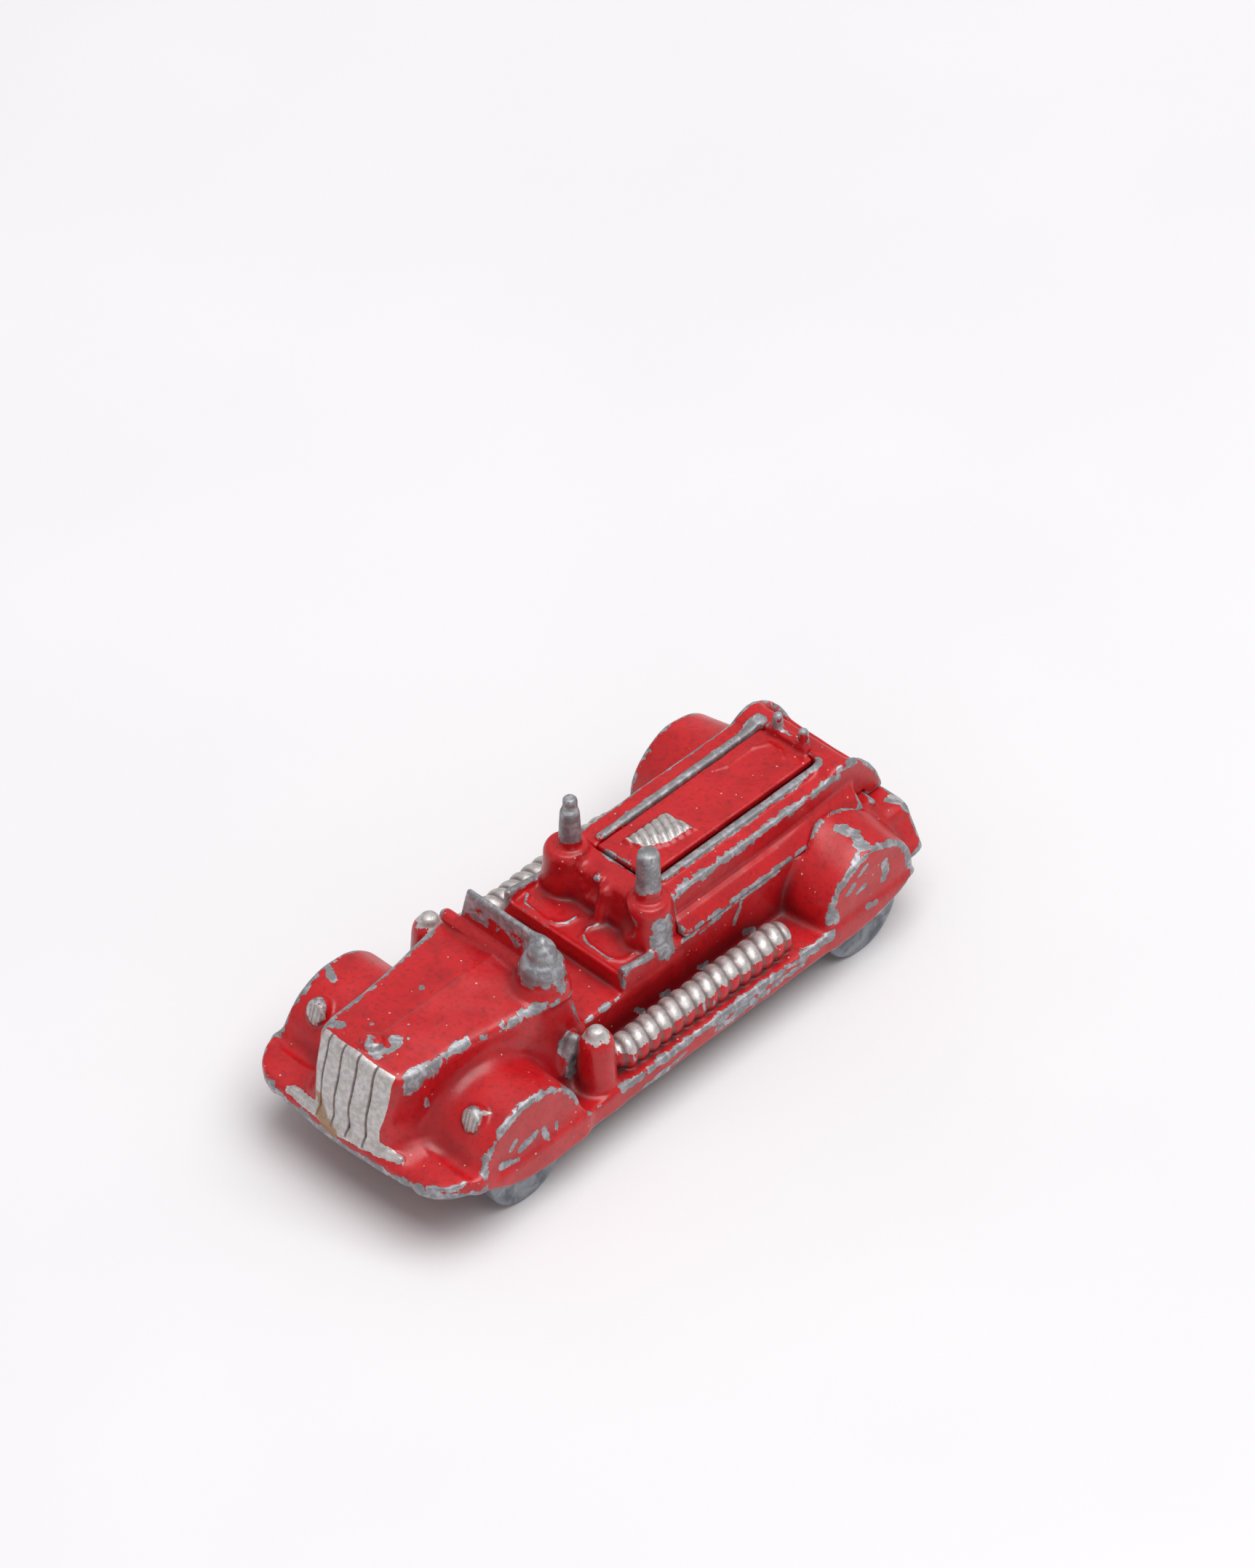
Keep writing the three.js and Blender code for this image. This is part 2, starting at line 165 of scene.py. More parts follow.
def ball(centre, radii):
    def distance(x, y, z):
        p = [v - c for v, c in zip((x, y, z), centre)]
        near = np.sqrt(sum((v / r) ** 2 for v, r in zip(p, radii)))
        slope = np.sqrt(sum((v / (r * r)) ** 2 for v, r in zip(p, radii)))
        return near * (near - 1) / np.maximum(slope, 1e-6)
    low = [c - r for c, r in zip(centre, radii)]
    high = [c + r for c, r in zip(centre, radii)]
    return low, high, distance


def rod(a, b, ra, rb):
    """A round bar from a to b whose radius runs from ra to rb."""
    run = [q - p for p, q in zip(a, b)]
    length = sum(v * v for v in run)

    def distance(x, y, z):
        away = [v - p for v, p in zip((x, y, z), a)]
        t = np.clip(sum(v * d for v, d in zip(away, run)) / length, 0, 1)
        gap = np.sqrt(sum((v - d * t) ** 2 for v, d in zip(away, run)))
        return gap - (ra + (rb - ra) * t)
    r = max(ra, rb)
    low = [min(p, q) - r for p, q in zip(a, b)]
    high = [max(p, q) + r for p, q in zip(a, b)]
    return low, high, distance


def common(first, second, edge=0.3):
    low = [max(a, b) for a, b in zip(first[0], second[0])]
    high = [min(a, b) for a, b in zip(first[1], second[1])]

    def distance(x, y, z):
        return soft_max(first[2](x, y, z), second[2](x, y, z), edge)
    return low, high, distance


class Field:
    """Signed distances at the points of a grid."""

    def __init__(self, low, high, step, fine_x=()):
        self.step = step
        axes = [np.arange(a, b + step, step) for a, b in zip(low, high)]
        for centre in fine_x:
            near = np.abs(axes[0] - centre) < step * 1.2
            extra = centre + np.linspace(-1, 1, 7) * step * 1.1
            axes[0] = np.sort(np.concatenate([axes[0][~near], extra]))
        self.axes = [a.astype(np.float32) for a in axes]
        self.value = np.full([len(a) for a in self.axes], FAR, np.float32)
        # The outside before any hollowing; wear follows this. The same as value unless set.
        self.unhollowed = self.value

    def window(self, low, high, pad):
        parts, grids = [], []
        for i, axis in enumerate(self.axes):
            start = np.searchsorted(axis, low[i] - pad)
            stop = np.searchsorted(axis, high[i] + pad)
            shape = [1, 1, 1]
            shape[i] = -1
            parts.append(slice(start, stop))
            grids.append(axis[start:stop].reshape(shape))
        return tuple(parts), grids

    def combine(self, shape, blend, both, rule):
        low, high, distance = shape
        for sign in (1, -1) if both else (1,):
            x_ends = (low[0], high[0]) if sign > 0 else (-high[0], -low[0])
            ends = (x_ends[0], *low[1:]), (x_ends[1], *high[1:])
            part, (x, y, z) = self.window(*ends, blend + 4 * self.step)
            if all(g.size for g in (x, y, z)):
                made = distance(x * sign, y, z)
                self.value[part] = rule(self.value[part], made, blend)

    def add(self, shape, blend=0.0, both=False):
        self.combine(shape, blend, both, soft_min)

    def cut(self, shape, blend=0.0, both=False):
        self.combine(shape, blend, both, lambda a, b, k: soft_max(a, -b, k))

    def roughen(self, size, amount, seed):
        """Adds the slow unevenness of a casting."""
        rng = np.random.default_rng(seed)
        counts = [int((a[-1] - a[0]) / size) + 2 for a in self.axes]
        wave = rng.uniform(-1, 1, counts).astype(np.float32)
        for i, axis in enumerate(self.axes):
            at = (axis - axis[0]) / size
            low = at.astype(int)
            t = at - low
            t = t * t * (3 - 2 * t)
            shape = [1, 1, 1]
            shape[i] = -1
            t = t.reshape(shape).astype(np.float32)
            wave = np.take(wave, low, i) * (1 - t) + np.take(wave, low + 1, i) * t
        self.value += wave * amount

    def soften(self, times=1):
        for _ in range(times):
            for i in range(3):
                a = np.moveaxis(self.value, i, 0)
                a[1:-1] = a[1:-1] * 0.5 + (a[:-2] + a[2:]) * 0.25


def averaged(values, reach):
    """A box average over reach cells each way, on every axis."""
    for i in range(3):
        padded = np.concatenate([
            np.repeat(np.take(values, [0], i), reach + 1, i), values,
            np.repeat(np.take(values, [-1], i), reach, i)], i)
        total = np.cumsum(padded, i, dtype=np.float64)
        n = values.shape[i]
        high = np.take(total, range(2 * reach + 1, 2 * reach + 1 + n), i)
        low = np.take(total, range(n), i)
        values = ((high - low) / (2 * reach + 1)).astype(np.float32)
    return values


def sample(field, grid, points):
    """A grid's values at points, read between its lines."""
    index, weight = [], []
    for i, axis in enumerate(field.axes):
        at = np.clip(np.searchsorted(axis, points[:, i]) - 1, 0, len(axis) - 2)
        index.append(at)
        weight.append(np.clip((points[:, i] - axis[at]) / (axis[at + 1] - axis[at]), 0, 1))
    total = np.zeros(len(points))
    for corner in range(8):
        bits = [(corner >> i) & 1 for i in range(3)]
        share = np.ones(len(points))
        for w, bit in zip(weight, bits):
            share = share * (w if bit else 1 - w)
        total += share * grid[tuple(a + bit for a, bit in zip(index, bits))]
    return total


def surface(field):
    """Surface nets: one vertex in each cell the surface passes through, and the quads."""
    inside = field.value < 0
    shape = [n - 1 for n in inside.shape]
    count = np.zeros(shape, np.int8)
    for c in range(8):
        i, j, k = (c >> 0) & 1, (c >> 1) & 1, (c >> 2) & 1
        count += inside[i:i + shape[0], j:j + shape[1], k:k + shape[2]]
    cells = np.argwhere((count > 0) & (count < 8))
    number = np.full(shape, -1, np.int32)
    number[tuple(cells.T)] = np.arange(len(cells))
    total = np.zeros((len(cells), 3))
    hits = np.zeros(len(cells))
    for axis in range(3):
        others = [a for a in range(3) if a != axis]
        for c in range(4):
            start = cells.copy()
            start[:, others[0]] += c & 1
            start[:, others[1]] += c >> 1
            stop = start.copy()
            stop[:, axis] += 1
            va, vb = field.value[tuple(start.T)], field.value[tuple(stop.T)]
            crosses = (va < 0) != (vb < 0)
            t = np.where(crosses, va / np.where(crosses, va - vb, 1), 0)
            at = np.stack([field.axes[a][start[:, a]] for a in range(3)], 1).astype(float)
            end = field.axes[axis][stop[:, axis]]
            at[:, axis] += t * (end - at[:, axis])
            total += at * crosses[:, None]
            hits += crosses
    points = total / hits[:, None]
    quads = []
    for axis in range(3):
        u, v = (axis + 1) % 3, (axis + 2) % 3
        first = np.take(inside, range(inside.shape[axis] - 1), axis)
        second = np.take(inside, range(1, inside.shape[axis]), axis)
        for turn, found in ((1, first & ~second), (-1, second & ~first)):
            edges = np.argwhere(found)
            ring = []
            for du, dv in ((1, 1), (0, 1), (0, 0), (1, 0))[::turn]:
                cell = edges.copy()
                cell[:, u] -= du
                cell[:, v] -= dv
                ring.append(number[tuple(cell.T)])
            quads.append(np.stack(ring, 1))
    return points, np.concatenate(quads)


# ---- the pieces' shapes --------------------------------------------------------------
TUB_HALF = [
    (0, -30.1), (6.9, -30.05), (7.6, -29.8), (8.6, -29.95), (9.9, -29.5), (11.0, -28.7),
    (11.6, -27.8), (12.0, -26.7), (12.07, -25.3), (12.05, 25.6), (11.8, 27.0), (11.2, 28.3),
    (10.4, 29.4), (9.6, 29.9), (0, 30.05),
]
LOWER_EDGE = [
    (-30.3, 6.1), (-28.6, 6.35), (-27.2, 6.5), (-25.5, 6.1), (-22.8, 4.7), (-20.6, 4.0),
    (-18, 3.85), (-14, 3.95), (17, 3.95), (20, 4.0), (23.2, 4.55), (25, 5.15), (26.4, 5.8),
    (27.5, 6.1), (30.3, 6.1),
]
TUB_PROFILE = LOWER_EDGE + [
    (30.3, 6.3), (-13.4, 6.15), (-24.2, 6.1), (-25.6, 7.3), (-27.2, 8.2), (-29.2, 7.75),
    (-30.3, 7.35),
]
BONNET_Y = [-30, -29, -28, -27.2, -26, -22, -18.1, -14, -11, -9]
BONNET_HALF = [3.7, 4.15, 4.55, 4.85, 5.15, 5.35, 5.9, 6.6, 6.95, 7.1]
SCUTTLE = [
    (-35, 5), (-35, 22), (-11.0, 22), (-11.0, 14.95), (-9.95, 14.2), (-9.15, 10.9),
    (-8.7, 10.0), (-8.7, 5),
]
GRILLE_Z = [8.0, 10.0, 11.0, 11.9, 13.7, 15.2, 16.3]
GRILLE_Y = [-29.3, -29.3, -29.2, -29.0, -28.5, -28.15, -27.8]
GRILLE_HALF = [3.8, 3.8, 3.97, 4.14, 4.22, 4.17, 3.94]
GROOVES = [-3.1, -1.3, 0.45, 2.3]
FINE_X = [*GROOVES, 0.0]
BOW = 0.55


def mirrored(half):
    return half + [(-x, y) for x, y in reversed(half) if x > 0]


def grille_front(x, z):
    return np.interp(z, GRILLE_Z, GRILLE_Y) - BOW * (1 - np.minimum(np.abs(x) / 4.3, 1.6) ** 2)


def bonnet_distance(x, y, z):
    flare = 0.035 * (15 - z) + 0.11 * np.clip(11.2 - z, 0, 3.4) ** 2
    half = np.interp(y, BONNET_Y, BONNET_HALF) + flare
    walls = (np.abs(x) - half) * 0.95
    edge_top = np.interp(y, [-27, -12], [15.35, 15.0])
    lid = z - (edge_top + (15.85 - edge_top) * (1 - np.minimum(np.abs(x) / half, 1)))
    nose = (grille_front(x, z) - y) * 0.96
    shell = soft_max(soft_max(walls, lid, 0.9), nose, 0.7)
    return soft_max(shell, polygon(y, z, SCUTTLE), 0.5)


def hose_turns(x, y):
    """How many coils lie between the hose's front end and here."""
    return (y + 0.22 * (x - HOSE_X) + 7.3) / HOSE_PITCH


def hose_distance(x, y, z):
    ridge = np.sqrt(np.abs(np.sin(np.pi * hose_turns(x, y))) + 0.01)
    along = np.clip(y, -6.7, 11.7)
    gap = np.sqrt((x - HOSE_X) ** 2 + (y - along) ** 2 + (z - HOSE_Z) ** 2)
    return (gap - 1.2 - 0.4 * ridge) * 0.75


def lamp_distance(x, y, z):
    dy, dz = y - LAMP[1], z - LAMP[2]
    dome = ball(LAMP, (1.12, 1.35, 1.2))[2](x, y, z)
    lens = -(dy * 0.95 - dz * 0.31) - 0.72
    ribs = 0.09 * np.cos((x - LAMP[0]) * 2 * np.pi / RIB_PITCH)
    return soft_max(dome, lens + ribs, 0.12)


def crew_lumps():
    """The crude castings on the front of the crew block."""
    rng = np.random.default_rng(7)
    for _ in range(18):
        x, z = rng.uniform(-2.3, 0.7), rng.uniform(12.8, 15.2)
        r = rng.uniform(0.2, 0.42)
        yield ball((x, 0.1 + (z - 11.7) * 0.27, z), (r, 0.35, r))


def rear_upper(field):
    """The outside of the rear casting: deck, side walls, round cheeks and sloping step."""
    cheek = [(29.9, 10.42), (29.7, 11.2), (29.1, 12.6), (28.3, 13.9), (27.4, 14.9), (26.5, 15.6),
             (25.4, 16.1), (24.4, 16.25), (23.5, 16.0), (22.6, 15.5), (21.8, 15.4)]
    outline = [(3.42, 11.45), (27.5, 11.45), (27.5, 10.42), *cheek, (3.42, 15.4)]
    field.add(side(outline, -5.65, 5.65, 0.3))
    step = [(-7.25, 11.45), (7.25, 11.45), (7.2, 11.75), (5.7, 13.55), (-5.7, 13.55),
            (-7.2, 11.75)]
    slope = [(3.42, 11.4), (25.7, 11.4), (25.7, 13.5), (23.5, 13.5), (15, 13.0), (3.42, 12.95)]
    field.add(common(front(step, 3.42, 25.7, 0), side(slope, -8, 8, 0), 0.2), 0.35)


def rear_body():
    field = Field((-8, 2.8, 10.0), (8, 30.5, 17.2), REAR_STEP)
    rear_upper(field)
    field.cut(block((-4.85, 25.8, 11.8), (4.85, 33, 30), 0.3), 0.25)
    field.add(block((3.25, 4.0, 14.8), (4.05, 23.9, 15.8), 0.02), 0.08, both=True)
    field.cut(block((-3.28, 2.0, 14.65), (3.28, 23.8, 30), 0.05), 0.0)
    field.cut(side([(2.0, 10), (25.2, 10), (25.2, 11.9), (2.0, 11.9)], -4.9, 4.9, 0.1), 0.0)
    field.roughen(1.6, 0.035, 3)
    field.soften()
    return field


def panel_shape(x, y, z):
    lift = np.clip((x + 3.2) * 0.075, 0, 0.5)
    plate = block((-3.18, 3.5, 14.8), (2.93, 23.7, 15.52), 0.08)[2]
    return plate(x, y, z - lift)


def coil_turns(x, y):
    """How many turns of the coiled hose lie before this place on the deck panel."""
    return (y + 0.45 * x) / 0.84


def coil_shape(x, y, z):
    reach = polygon(x, y, COIL_OUTLINE)
    height = 15.5 + 0.6 * np.sqrt(np.clip(-reach / 1.1, 0, 1))
    ridge = 0.34 * np.sqrt(np.abs(np.sin(np.pi * coil_turns(x, y))))
    return np.maximum(soft_max((z - height - ridge) * 0.6, reach, 0.2), 15.0 - z)


def deck_panel():
    field = Field((-3.7, 3.0, 14.3), (3.3, 25.3, 18.6), PANEL_STEP)
    field.add(((-3.2, 3.4, 14.7), (2.9, 23.8, 16.2), panel_shape))
    field.add(((-1.9, 4.8, 15.0), (2.1, 10.7, 16.7), coil_shape), 0.3)
    ring = [(-2.4, 17.1), (-1.95, 18.1), (-1.9, 21.4), (-1.2, 22.6), (0.1, 22.6), (0.9, 22.1)]
    for (ax, ay), (bx, by) in zip(ring, ring[1:]):
        a = (ax, ay, 15.52 + (ax + 3.2) * 0.075)
        b = (bx, by, 15.52 + (bx + 3.2) * 0.075)
        field.add(rod(a, b, 0.1, 0.1), 0.35)
    wall = [(-2.5, 23.55), (2.2, 23.55), (2.35, 24.2), (1.4, 24.5), (-1.6, 24.6), (-2.6, 24.25)]
    field.add(plan(wall, 15.47, 16.55, 0.3), 0.4)
    field.add(turned([(0.0, 15.6), (0.66, 15.6), (0.55, 16.6), (0.44, 17.9), (0.3, 18.15),
                      (0.0, 18.15)], 1.5, 24.05), 0.3, both=True)
    field.roughen(1.3, 0.03, 4)
    field.soften()
    return field


def body_casting():
    field = Field(CASTING_LOW, CASTING_HIGH, BODY_STEP, FINE_X)
    tub = common(plan(mirrored(TUB_HALF), 3.0, 12.0, 0), side(TUB_PROFILE, -13, 13, 0), 0.35)
    field.add(tub)
    tail = [(0, 5.6), (10.6, 5.6), (10.5, 6.3), (10.0, 7.4), (9.0, 9.1), (8.6, 10.0),
            (7.9, 10.35), (0, 10.35)]
    field.add(front(mirrored(tail), 24.5, 29.9, 0.3), 0.6)
    field.add(((-7.6, -30.2, 5), (7.6, -8.5, 16.5), bonnet_distance), 1.4)
    field.add(drum(-19.8, 6.4, 6.05, 4.6, 11.88, 0.4), 1.7, both=True)
    field.add(drum(21.7, 6.9, 5.35, 6.2, 11.83, 0.4, 0.16), 0.8, both=True)
    field.cut(side([(-31, 0), (-31, 6.1), *LOWER_EDGE, (31, 6.1), (31, 0)], -13, 13, 0), 0.3)
    for shape in cab_shapes():
        field.add(*shape)
    field.cut(ball((2.9, -0.5, 13.9), (2.0, 1.15, 1.7)), 0.6)
    field.cut(ball((-1.2, -0.6, 14.2), (1.7, 1.15, 1.6)), 0.5)
    for shape in fitting_shapes():
        field.add(shape[0], shape[1], both=True)
    for end in ((-6.6, -29.3, 7.9), (6.0, -29.2, 8.25)):
        field.add(rod((0, -29.85, 7.75), end, 0.44, 0.28), 0.15)
    for x in GROOVES:
        field.cut(groove(x), 0.0)
    outside = field.value.copy()
    hollow_underside(field)
    rear = Field(CASTING_LOW, CASTING_HIGH, BODY_STEP, FINE_X)
    rear_upper(rear)
    rear.add(block((-5.0, 3.42, 10.2), (5.0, 25.4, 13), 0))
    field.value = np.maximum(field.value, SEAM - rear.value)
    field.roughen(1.9, 0.05, 1)
    field.soften()
    field.unhollowed = np.maximum(outside, SEAM - rear.value)
    return field


def groove(x):
    def distance(u, v, w):
        sideways = np.abs(u - x) - 0.1
        depth = np.abs(v - grille_front(u, w)) - 0.3
        ends = np.abs(w - 12.3) - 3.9
        return np.maximum(np.maximum(sideways, depth), ends)
    return (x - 0.15, -30.6, 8.2), (x + 0.15, -27.4, 16.6), distance


def cab_shapes():
    leaning = [(-11.35, 15.0), (-10.75, 15.0), (-10.85, 20.1), (-11.38, 20.1)]
    glass = [(-5.0, 15.0), (4.8, 15.0), (4.8, 20.1), (-3.9, 20.1), (-4.7, 17.0)]
    screen = common(side(leaning, -7, 7, 0), front(glass, -13, -9, 0), 0.1)
    bell = [(0, 14.6), (2.5, 14.6), (2.35, 15.5), (2.05, 16.1), (1.93, 16.9), (1.9, 17.6),
            (1.62, 18.15), (1.28, 18.4), (1.22, 19.1), (0.98, 19.6), (0.5, 19.85), (0.45, 20.1),
            (0.3, 20.22), (0, 20.22)]
    wall = [(-3.95, 9), (3.35, 9), (3.35, 11.38), (2.1, 11.65), (-3.95, 12.9)]
    left_peg = [(0, 14.5), (1.32, 14.5), (1.2, 15.6), (0.98, 20.7), (0.85, 21.05), (0, 21.2)]
    right_peg = [(0, 14.5), (1.12, 14.5), (1.05, 15.6), (0.88, 19.8), (0.8, 20.05), (0, 20.15)]
    post = [(0, 9.6), (2.35, 9.6), (2.25, 12.0), (2.02, 15.5), (1.7, 16.05), (0, 16.1)]
    block_wide = [(-6.4, 9.5), (6.4, 9.5), (6.1, 12), (5.7, 15.45), (-5.7, 15.45), (-6.1, 12)]
    block_slope = [(0.0, 9.5), (4.0, 9.5), (4.0, 15.45), (1.35, 15.45), (0.95, 15.1), (0.15, 11.9)]
    crew_block = common(front(block_wide, -2, 6, 0), side(block_slope, -9, 9, 0), 0.35)
    yield rod((-6.15, -11.5, 15.7), (4.0, -11.5, 15.7), 0.66, 0.66), 0.25, False
    yield screen, 0.25, False
    yield turned(bell, 4.9, -11.4), 0.7, False
    cap = [(0, 15), (1.1, 15), (1.05, 16.1), (0.8, 16.35), (0, 16.4)]
    yield turned(cap, 0.15, -26.55), 0.1, False
    yield block((-7.1, -10.0, 5.5), (7.1, 3.35, 10.1), 0.15), 0.4, False
    yield block((-7.1, 2.0, 5.5), (7.1, 27.4, 11.38), 0.15), 0.4, False
    yield block((-6.6, -3.85, 9.0), (6.6, 3.0, 11.7), 0.15), 0.15, False
    yield rod((-6.4, -3.72, 11.72), (6.4, -3.62, 11.72), 0.2, 0.2), 0.15, False
    yield side(wall, 6.35, 7.1, 0.15), 0.2, False
    yield side(wall, -7.1, -6.35, 0.15), 0.2, False
    yield crew_block, 0.25, False
    for sign in (1, -1):
        yield turned(post, sign * 4.75, 1.5), 0.4, False
    yield turned(left_peg, 4.57, 1.65), 0.3, False
    yield turned(right_peg, -4.57, 1.65), 0.3, False
    peg_tip = [(0, 18), (0.6, 18), (0.68, 20.95), (0.55, 21.15), (0, 21.2)]
    yield turned(peg_tip, -4.72, 1.85), 0.1, False
    for lump in crew_lumps():
        yield lump, 0.25, False
    yield rod((0.6, -0.1, 11.9), (0.5, 0.6, 14.4), 0.5, 0.6), 0.6, False
    yield rod((1.7, 0.15, 12.6), (3.9, 0.0, 12.7), 0.2, 0.2), 0.2, False
    for line in cushion_lines():
        for a, b in zip(line, line[1:]):
            yield rod((*a, 11.76), (*b, 11.76), 0.19, 0.19), 0.05, False


def cushion_lines():
    """The U-shaped outlines of the two seat cushions."""
    left = [(1.0, -0.6), (0.6, -1.5), (0.9, -2.4), (1.8, -2.9), (4.4, -2.95), (5.4, -2.2),
            (5.5, -1.0)]
    right = [(-1.05, -1.2), (-1.15, -2.2), (-1.7, -2.95), (-2.8, -3.25), (-5.4, -3.0),
             (-5.95, -2.0)]
    return left, right


def fitting_shapes():
    """What stands on each running board and wing, given for the left side."""
    extinguisher = [(0, 5.9), (1.95, 5.9), (1.75, 6.9), (1.56, 10.4), (1.46, 11.0), (1.15, 11.55),
                    (0.9, 11.65), (0.85, 12.0), (0.6, 12.3), (0, 12.38)]
    yield turned(extinguisher, 9.8, -10.0), 0.5
    yield ((8.3, -8.1, 5.9), (11.3, 13.1, 8.9), hose_distance), 0.25
    yield ((7.9, -25.2, 9.7), (10.3, -22.7, 12.2), lamp_distance), 0.3
    yield rod((7.75, -12.2, 7.6), (7.75, -10.7, 10.2), 0.7, 0.62), 0.25


def hollow_underside(field):
    """The pocket under the casting, and a round well for each wheel."""
    field.cut(block((-11.3, -13.4, 0), (11.3, 16.2, 5.0), 0.2), 0.2)
    field.cut(block((-6.75, -25.6, 0), (6.75, 27.0, 6.0), 0.1), 0.1)
    field.cut(block((-6.1, -13.0, 0), (6.1, 26.4, 8.6), 0.2), 0.2)
    field.cut(block((-4.4, -26.2, 0), (4.4, -12.4, 14), 0.3), 0.3)
    for y, z, radius, axle in ((-19.8, 6.4, 5.3, FRONT_AXLE_Y), (21.7, 6.9, 4.6, REAR_AXLE_Y)):
        dome = [(y + radius * math.cos(a), z + radius * math.sin(a))
                for a in np.linspace(0, math.pi, 24)]
        well = [*dome, (axle - radius, 0), (axle + radius, 0)]
        field.cut(side(well, 8.6, 11.3, 0.2), 0.2, both=True)
        field.cut(block((6.8, axle - 4.9, 0), (8.8, axle + 4.7, 6.9), 0.1), 0.2, both=True)
    for y in STUD_Y:
        field.add(turned([(0, 5.4), (1.1, 5.4), (1.2, 5.6), (1.2, 9.2), (0, 9.2)], 0, y), 0.3)


def base_plate():
    field = Field((-8.7, -26.2, 2.6), (8.7, 27.6, 6.3), PLATE_STEP)
    half = [(0, -25.2), (5.5, -25.2), (6.5, -24.2), (6.5, 25.7), (5.5, 26.7), (0, 26.7)]
    field.add(plan(mirrored(half), 5.3, 5.7, 0.08))
    for y in (FRONT_AXLE_Y, REAR_AXLE_Y):
        ear = [(y - 1.6, 5.7), (y - 1.6, 4.2), (y - 0.8, 3.1), (y + 0.8, 3.1), (y + 1.6, 4.2),
               (y + 1.6, 5.7)]
        field.add(side(ear, 7.6, 8.02, 0.08), 0.25, both=True)
        field.add(block((6.0, y - 1.6, 5.3), (7.9, y + 1.6, 5.7), 0.08), 0.1, both=True)
        field.cut(drum(y, AXLE_Z, 0.68, -9, 9, 0))
    for y in STUD_Y:
        field.cut(turned([(1.5, 4), (1.5, 7)], 0, y))
    field.soften()
    return field


# ---- where the enamel is gone, and where silver paint was brushed on ------------------
def line_wear(points, line, radius):
    """1 on a line through the given places, falling to 0 at the radius."""
    best = np.full(len(points), FAR)
    line = [np.array(p, float) for p in line]
    for a, b in zip(line, line[1:] or line):
        run = b - a
        length = max(float(run @ run), 1e-9)
        t = np.clip((points - a) @ run / length, 0, 1)
        best = np.minimum(best, np.linalg.norm(points - a - t[:, None] * run, axis=1))
    return np.clip(1 - best / radius, 0, 1)


def ramp(values, low, high):
    t = np.clip((values - low) / (high - low), 0, 1)
    return t * t * (3 - 2 * t)


def wing_rim(y, z, radius, x, start, stop):
    return [(x, y + radius * math.cos(math.radians(a)), z + radius * math.sin(math.radians(a)))
            for a in np.linspace(start, stop, 16)]


